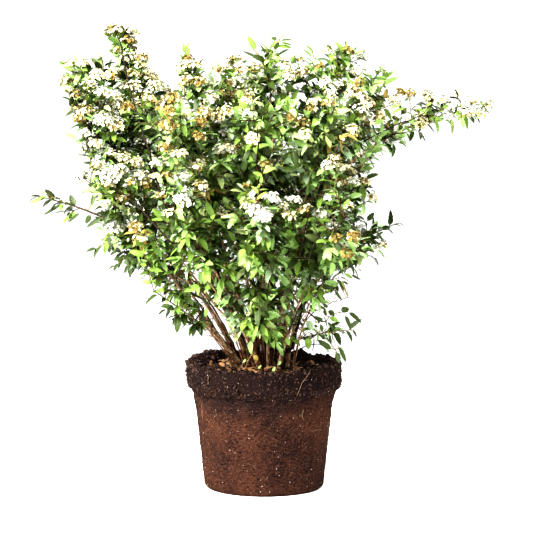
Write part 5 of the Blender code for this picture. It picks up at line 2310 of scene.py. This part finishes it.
@dataclass
class RootBall:
    """The bare root ball: matted sides, a crumbly collar, perlite, fibres and roots."""

    height: float = 0.230
    foot: float = 0.107
    shoulder: float = 0.1275
    band_bottom: float = 0.184
    band: float = 0.1385
    band_top: float = 0.1395
    lip: float = 0.016
    soil_top: float = 0.216
    soil: float = 0.108
    rounding: float = 0.005
    sides: int = 300
    step: float = 0.0020
    drape_height: float = 0.045
    drape: float = 0.009
    rim_away: float = 0.128
    rim_width: float = 0.012
    worn: float = 0.0085
    still_below: float = 0.0008
    root_step: float = 0.0025
    root_radius: float = 0.00025
    pale_radius: float = 0.00036
    clods: int = 150
    seed: int = 19

    def profile(self) -> list[tuple[float, float]]:
        """The source's half section, from the middle of the soil over the lip and down.

        Returns:
            The radius and height of each corner.
        """
        lip = self.band_top - self.lip
        return [
            (0.0, self.soil_top),
            (self.soil, self.soil_top),
            (lip, self.height - self.rounding / 2),
            (lip + self.lip / 2, self.height),
            (self.band_top - self.rounding / 2, self.height - self.rounding / 4),
            (self.band_top, self.height - self.rounding),
            (self.band, self.band_bottom + self.rounding),
            (self.band - self.rounding / 2, self.band_bottom),
            (self.shoulder, self.band_bottom - self.rounding),
            (self.foot + self.rounding / 4, self.rounding),
            (self.foot - self.rounding / 2, 0.0),
            (0.0, 0.0),
        ]

    def side_radius(self, height: float) -> float:
        """The matted side's radius at a height below the band."""
        share = share_of(height, self.rounding, self.band_bottom - 2 * self.rounding)
        return self.foot + (self.shoulder - self.foot) * share

    def relief(self, spot: Vector) -> float:
        """How far the earth stands proud of the plain form at a spot.

        Args:
            spot: A point of the plain form.

        Returns:
            The height along the form's normal, in metres.
        """
        broad = noise.noise(spot * 32)
        lumps = noise.noise(spot * 110)
        grains = noise.noise(spot * 330) + 0.5 * noise.noise(spot * 700)
        crumbly = share_of(spot.z, self.band_bottom - 0.012, 0.020)
        proud = 0.0005 * broad + 0.0005 * lumps + 0.0007 * grains
        under = self.band_bottom - spot.z
        if 0.0 < under < self.drape_height:
            hang = (0.5 + noise.noise(spot * 26)) * (1.0 - under / self.drape_height) ** 2
            proud += self.drape * max(0.0, hang)
        return proud + crumbly * (0.0022 * broad + 0.0018 * lumps + 0.0009 * grains)

    def ragged(self, spot: Vector) -> float:
        """How far the top stands up at a spot: high at the rear left, worn down at the front.

        Args:
            spot: A point of the plain form.

        Returns:
            The rise, in metres.
        """
        if spot.z <= self.soil_top - 0.004:
            return 0.0
        around, away = math.atan2(spot.y, spot.x), math.hypot(spot.x, spot.y)
        rim = math.exp(-(((away - self.rim_away) / self.rim_width) ** 2))
        rear_left = math.exp(-(((around - 2.3) / 0.35) ** 2))
        front = math.exp(-(((around + math.pi / 2) / 0.9) ** 2))
        rise = rim * 0.007 * (rear_left + noise.noise(spot * 60))
        rise -= self.worn * front * share_of(spot.z, self.soil_top + 0.001, 0.012)
        return rise + 0.004 * math.exp(-((away / 0.05) ** 2))

    @staticmethod
    def face_order(face: bmesh.types.BMFace) -> float:
        """A face's own number, which keeps the seeded picks the same in every run."""
        indices = [vert.index for vert in face.verts]
        return min(indices) * 1e6 + sum(indices)

    def body(self) -> bpy.types.Mesh:
        """The ball itself, turned from its section and roughened.

        Returns:
            The mesh.
        """
        section = self.profile()
        line: list[Vector] = []
        for (r0, z0), (r1, z1) in zip(section, section[1:]):
            count = max(1, round(math.hypot(r1 - r0, z1 - z0) / self.step))
            for k in range(count):
                line.append(Vector((r0 + (r1 - r0) * k / count, 0.0, z0 + (z1 - z0) * k / count)))
        line.append(Vector((0.0, 0.0, 0.0)))
        bm = bmesh.new()
        corners = [bm.verts.new(point) for point in line]
        for first, second in zip(corners, corners[1:]):
            bm.edges.new((first, second))
        bmesh.ops.spin(
            bm, geom=bm.verts[:] + bm.edges[:], axis=UP, cent=(0.0, 0.0, 0.0),
            steps=self.sides, angle=math.tau, use_merge=True,
        )
        bmesh.ops.remove_doubles(bm, verts=bm.verts, dist=0.00001)
        bmesh.ops.recalc_face_normals(bm, faces=bm.faces)
        bm.verts.index_update()
        bm.faces.sort(key=self.face_order)
        bm.normal_update()
        moves = [vert.normal * self.relief(vert.co) for vert in bm.verts]
        for vert, move in zip(bm.verts, moves):
            if vert.co.z < self.still_below:
                continue
            vert.co += move + UP * self.ragged(vert.co)
            vert.co.z = max(0.0, vert.co.z)
        mesh = mesh_of(bm, "root_ball_body")
        mesh.shade_smooth()
        return mesh

    def crumb(self, rng: random.Random) -> bpy.types.Mesh:
        """An angular crumb about one unit across.

        Args:
            rng: The random numbers.

        Returns:
            The mesh.
        """
        bm = new_bmesh()
        bmesh.ops.create_icosphere(bm, subdivisions=1, radius=0.5, calc_uvs=True)
        for vert in bm.verts:
            vert.co *= rng.uniform(0.65, 1.2)
            vert.co.z *= 0.75
        return mesh_of(bm, "crumb")

    def clod(self, seed: float) -> bpy.types.Mesh:
        """A lump of crumbly soil about one unit across.

        Args:
            seed: Where its lumps are read.

        Returns:
            The mesh.
        """
        bm = new_bmesh()
        bmesh.ops.create_icosphere(bm, subdivisions=3, radius=0.5, calc_uvs=True)
        for vert in bm.verts:
            spot = vert.co * 3.2 + Vector((seed, seed * 2.1, 0.0))
            fine = vert.co * 9.0 + Vector((seed, 0.0, 0.0))
            vert.co *= 0.9 + 0.45 * noise.noise(spot) + 0.20 * noise.noise(fine)
            vert.co.z *= 0.7
        return mesh_of(bm, "clod")

    def fibre(self, bend: float) -> bpy.types.Mesh:
        """A short three-sided fibre one unit long, lying along Y and bent to one side.

        Args:
            bend: How far its middle stands to one side.

        Returns:
            The mesh.
        """
        bm = new_bmesh()
        bmesh.ops.create_cone(
            bm, cap_ends=False, segments=3, radius1=0.030, radius2=0.018, depth=1.0, calc_uvs=True,
            matrix=Matrix.Rotation(-math.pi / 2, 4, "X"),
        )
        along = [edge for edge in bm.edges if abs(edge.verts[0].co.y - edge.verts[1].co.y) > 0.5]
        bmesh.ops.subdivide_edges(bm, edges=along, cuts=2)
        for vert in bm.verts:
            vert.co.x += bend * (0.25 - vert.co.y**2)
            vert.co.z += 0.01 - 0.12 * vert.co.y**2
        return mesh_of(bm, "fibre")

    def spots(
        self, mesh: bpy.types.Mesh, count: int, low: float, high: float, rng: np.random.Generator
    ) -> tuple[np.ndarray, np.ndarray]:
        """Picks spots evenly over a band of the ball's surface.

        Args:
            mesh: The ball.
            count: How many.
            low: The band's lowest height.
            high: The band's highest.
            rng: The random numbers.

        Returns:
            The spots and their outward normals.
        """
        faces = mesh.polygons
        middles, normals, areas = (np.empty(len(faces) * wide) for wide in (3, 3, 1))
        faces.foreach_get("center", middles)
        faces.foreach_get("normal", normals)
        faces.foreach_get("area", areas)
        middles, normals = middles.reshape(-1, 3), normals.reshape(-1, 3)
        weight = areas * (middles[:, 2] > low) * (middles[:, 2] < high)
        chosen = rng.choice(len(faces), count, p=weight / weight.sum())
        return middles[chosen], normals[chosen]

    def scattered(
        self, spots: np.ndarray, normals: np.ndarray, sizes: tuple[float, float], sink: float,
        rng: random.Random, forms: int = 4,
    ) -> list[list[np.ndarray]]:
        """Places for crumbs, half sunk where they lie.

        Args:
            spots: Where they lie.
            normals: The surface's normals there.
            sizes: The smallest and largest crumb.
            sink: How deep they sit, as a share of their size.
            rng: The random numbers.
            forms: How many forms of crumb there are.

        Returns:
            The places of each form.
        """
        places = [[] for _ in range(forms)]
        for spot, normal in zip(spots, normals):
            size = sizes[0] + (sizes[1] - sizes[0]) * rng.random() ** 2.5
            turn = Matrix.Rotation(rng.uniform(0, math.tau), 3, any_way(rng) + UP * 0.01)
            stretch = Matrix.Diagonal((1.0, rng.uniform(0.7, 1.3), rng.uniform(0.7, 1.2)))
            where = spot + normal * size * (0.5 - sink)
            places[rng.randrange(forms)].append(placement(turn @ stretch * size, where))
        return places

    def matted(
        self, spots: np.ndarray, normals: np.ndarray, sizes: tuple[float, float],
        rng: random.Random, forms: int = 3,
    ) -> list[list[np.ndarray]]:
        """Places for fibres that lie on the surface every way.

        Args:
            spots: Where they lie.
            normals: The surface's normals there.
            sizes: The shortest and longest fibre.
            rng: The random numbers.
            forms: How many forms of fibre there are.

        Returns:
            The places of each form.
        """
        places = [[] for _ in range(forms)]
        for spot, normal in zip(spots, normals):
            out = Vector(normal)
            along = turned_round(out, math.radians(rng.uniform(72, 90)), rng.uniform(0, math.tau))
            turn = upright(along, out) * rng.uniform(*sizes)
            where = Vector(spot) + out * 0.0003
            places[rng.randrange(forms)].append(placement(turn, where))
        return places

    def roots(self, count: int, low: float, high: float, rng: random.Random) -> list[Line]:
        """Longer pale roots that wander over the matted side.

        Args:
            count: How many.
            low: The lowest height they start from.
            high: The highest.
            rng: The random numbers.

        Returns:
            Their lines.
        """
        found = []
        for _ in range(count):
            around, height = rng.uniform(0, math.tau), rng.uniform(low, high)
            heading, bend = rng.uniform(0, math.tau), rng.gauss(0.0, 0.05)
            points = []
            for _ in range(rng.randint(8, 22)):
                out = self.side_radius(height) + 0.0012
                if height > self.band_bottom - self.rounding:
                    out = self.band + 0.0016
                points.append(Vector((out * math.cos(around), out * math.sin(around), height)))
                bend = bend * 0.8 + rng.gauss(0.0, 0.07)
                heading += bend
                around += self.root_step * math.cos(heading) / out
                height += self.root_step * math.sin(heading)
                height = min(self.height - 0.008, max(0.004, height))
            radii = [self.root_radius] * len(points)
            radii[0] = radii[-1] = 0.0001
            found.append(Line(points, radii))
        return found

    def placed_root(self, row: list[tuple[float, float]]) -> Line:
        """A root of the table, laid on the ball's front face.

        Args:
            row: The X and Z of its points.

        Returns:
            Its line.
        """
        points = []
        for x, z in row:
            out = self.side_radius(z) + 0.002
            if z > self.band_bottom - self.rounding:
                out = self.band_top + 0.003
            points.append(Vector((x, -math.sqrt(out * out - x * x), z)))
        return Line(points, [self.pale_radius] * len(points))

    def add(self, name: str, mesh: bpy.types.Mesh, finish: MottledFinish | SoilFinish) -> None:
        """Puts one more piece on the ball."""
        add_piece(name, mesh, finish.build(), ["root_ball"])

    def build(self) -> None:
        """Makes the ball and what clings to it."""
        body = self.body()
        self.add("root_ball_earth", body, SoilFinish())
        rng = random.Random(self.seed)
        picks = np.random.default_rng(self.seed)
        forms = [self.crumb(rng) for _ in range(4)]
        bands = (
            (4800, self.band_bottom - 0.004, 1.0, (0.0010, 0.0062), 0.30),
            (1500, self.band_bottom - 0.040, self.band_bottom, (0.0008, 0.0036), 0.35),
            (1500, 0.004, self.band_bottom, (0.0007, 0.0022), 0.35),
        )
        sets = [
            self.scattered(*self.spots(body, count, low, high, picks), sizes, sink, rng)
            for count, low, high, sizes, sink in bands
        ]
        dark = [sum(same, []) for same in zip(*sets)]
        crumbs = MottledFinish("collar_crumbs", (76, 57, 50), (15, 11, 10), 260.0, 0.95)
        self.add("soil_crumbs", joined_copies("soil_crumbs", forms, dark), crumbs)
        lying = self.spots(body, self.clods, self.soil_top + 0.005, 1.0, picks)
        lumps = self.scattered(*lying, (0.004, 0.014), 0.45, rng)
        masters = [self.clod(k * 3.7) for k in range(4)]
        self.add("soil_clods", joined_copies("soil_clods", masters, lumps), crumbs)
        white = self.scattered(*self.spots(body, 900, 0.004, 1.0, picks), (0.0004, 0.0023), 0.3, rng)
        perlite = MottledFinish("perlite", (186, 174, 164), (140, 126, 114), 600.0, 0.9)
        self.add("perlite_grains", joined_copies("perlite_grains", forms, white), perlite)
        hairs = [self.fibre(0.5), self.fibre(-0.7), self.fibre(0.2)]
        looks = (
            ("fibres_brown", 3600, 0.180, (88, 58, 43), (60, 39, 30)),
            ("fibres_pale", 1100, 0.196, (120, 90, 70), (94, 68, 52)),
            ("fibres_dark", 2600, 0.226, (28, 19, 16), (17, 12, 11)),
        )
        for name, count, high, colour, other in looks:
            lying = self.matted(*self.spots(body, count, 0.003, high, picks), (0.004, 0.010), rng)
            mesh = joined_copies(name, hairs, lying)
            self.add(name, mesh, MottledFinish(name, colour, other, 300.0, 0.95))
        pale = MottledFinish("root_pale", (142, 122, 102), (108, 88, 70), 200.0, 0.85)
        lines = self.roots(6, 0.030, 0.150, rng) + [self.placed_root(row) for row in PALE_ROOTS]
        self.add("pale_roots", tubes("pale_roots", lines), pale)


@dataclass(frozen=True)
class Lamp:
    """A soft square lamp: its name, its place, its side and its power in watts."""

    name: str
    place: tuple[float, float, float]
    size: float
    power: float

    def hang(self, target: Vector) -> None:
        """Hangs it so that it looks at the target.

        Args:
            target: What it looks at.
        """
        light = bpy.data.lights.new(self.name, "AREA")
        light.energy = self.power
        light.size = self.size
        lamp = bpy.data.objects.new(self.name, light)
        lamp.location = self.place
        away = Vector(self.place) - target
        lamp.rotation_euler = away.to_track_quat("Z", "Y").to_euler()
        bpy.context.scene.collection.objects.link(lamp)


@dataclass
class Studio:
    """The pale floor, the soft lights and the camera at the photograph's viewpoint."""

    floor: float = 2.4
    world: float = 1.0
    target: tuple[float, float, float] = (0.0, 0.0, 0.45)
    lamps: tuple[Lamp, ...] = (
        Lamp("key", (-2.3, -2.0, 2.4), 1.0, 430.0),
        Lamp("top", (0.5, -0.8, 3.3), 1.2, 120.0),
        Lamp("rim", (0.8, 2.4, 2.4), 1.8, 80.0),
    )

    def build(self) -> None:
        """Sets the stage."""
        bm = bmesh.new()
        bmesh.ops.create_grid(bm, x_segments=1, y_segments=1, size=self.floor / 2)
        floor = new_object("studio_floor", mesh_of(bm, "studio_floor"), FloorFinish().build())
        for lamp in self.lamps:
            lamp.hang(Vector(self.target))
        world = bpy.data.worlds.new("studio")
        world.use_nodes = True
        sky = world.node_tree.nodes["Background"]
        sky.inputs["Color"].default_value = (1.0, 1.0, 1.0, 1.0)
        sky.inputs["Strength"].default_value = self.world
        bpy.context.scene.world = world
        lens = bpy.data.cameras.new("camera")
        lens.lens = SIGHT.lens
        lens.sensor_width = SIGHT.sensor
        camera = bpy.data.objects.new("camera", lens)
        camera.location = SIGHT.eye
        camera.rotation_euler = (math.pi / 2 - SIGHT.tilt, 0.0, 0.0)
        bpy.context.scene.collection.objects.link(camera)
        bpy.context.scene.camera = camera
        bpy.context.scene.view_settings.view_transform = "Standard"
        bpy.context.scene.view_settings.look = "High Contrast"


def main() -> None:
    """Builds the plant and its stage in order."""
    logging.basicConfig(level=logging.INFO, format="%(message)s")
    Studio().build()
    skeleton = Skeleton()
    RootBall().build()
    Canes(skeleton).build()
    growth = Growth(skeleton)
    growth.grow()
    Foliage(growth).build()
    Blossom(growth).build()


if __name__ == "__main__":
    main()
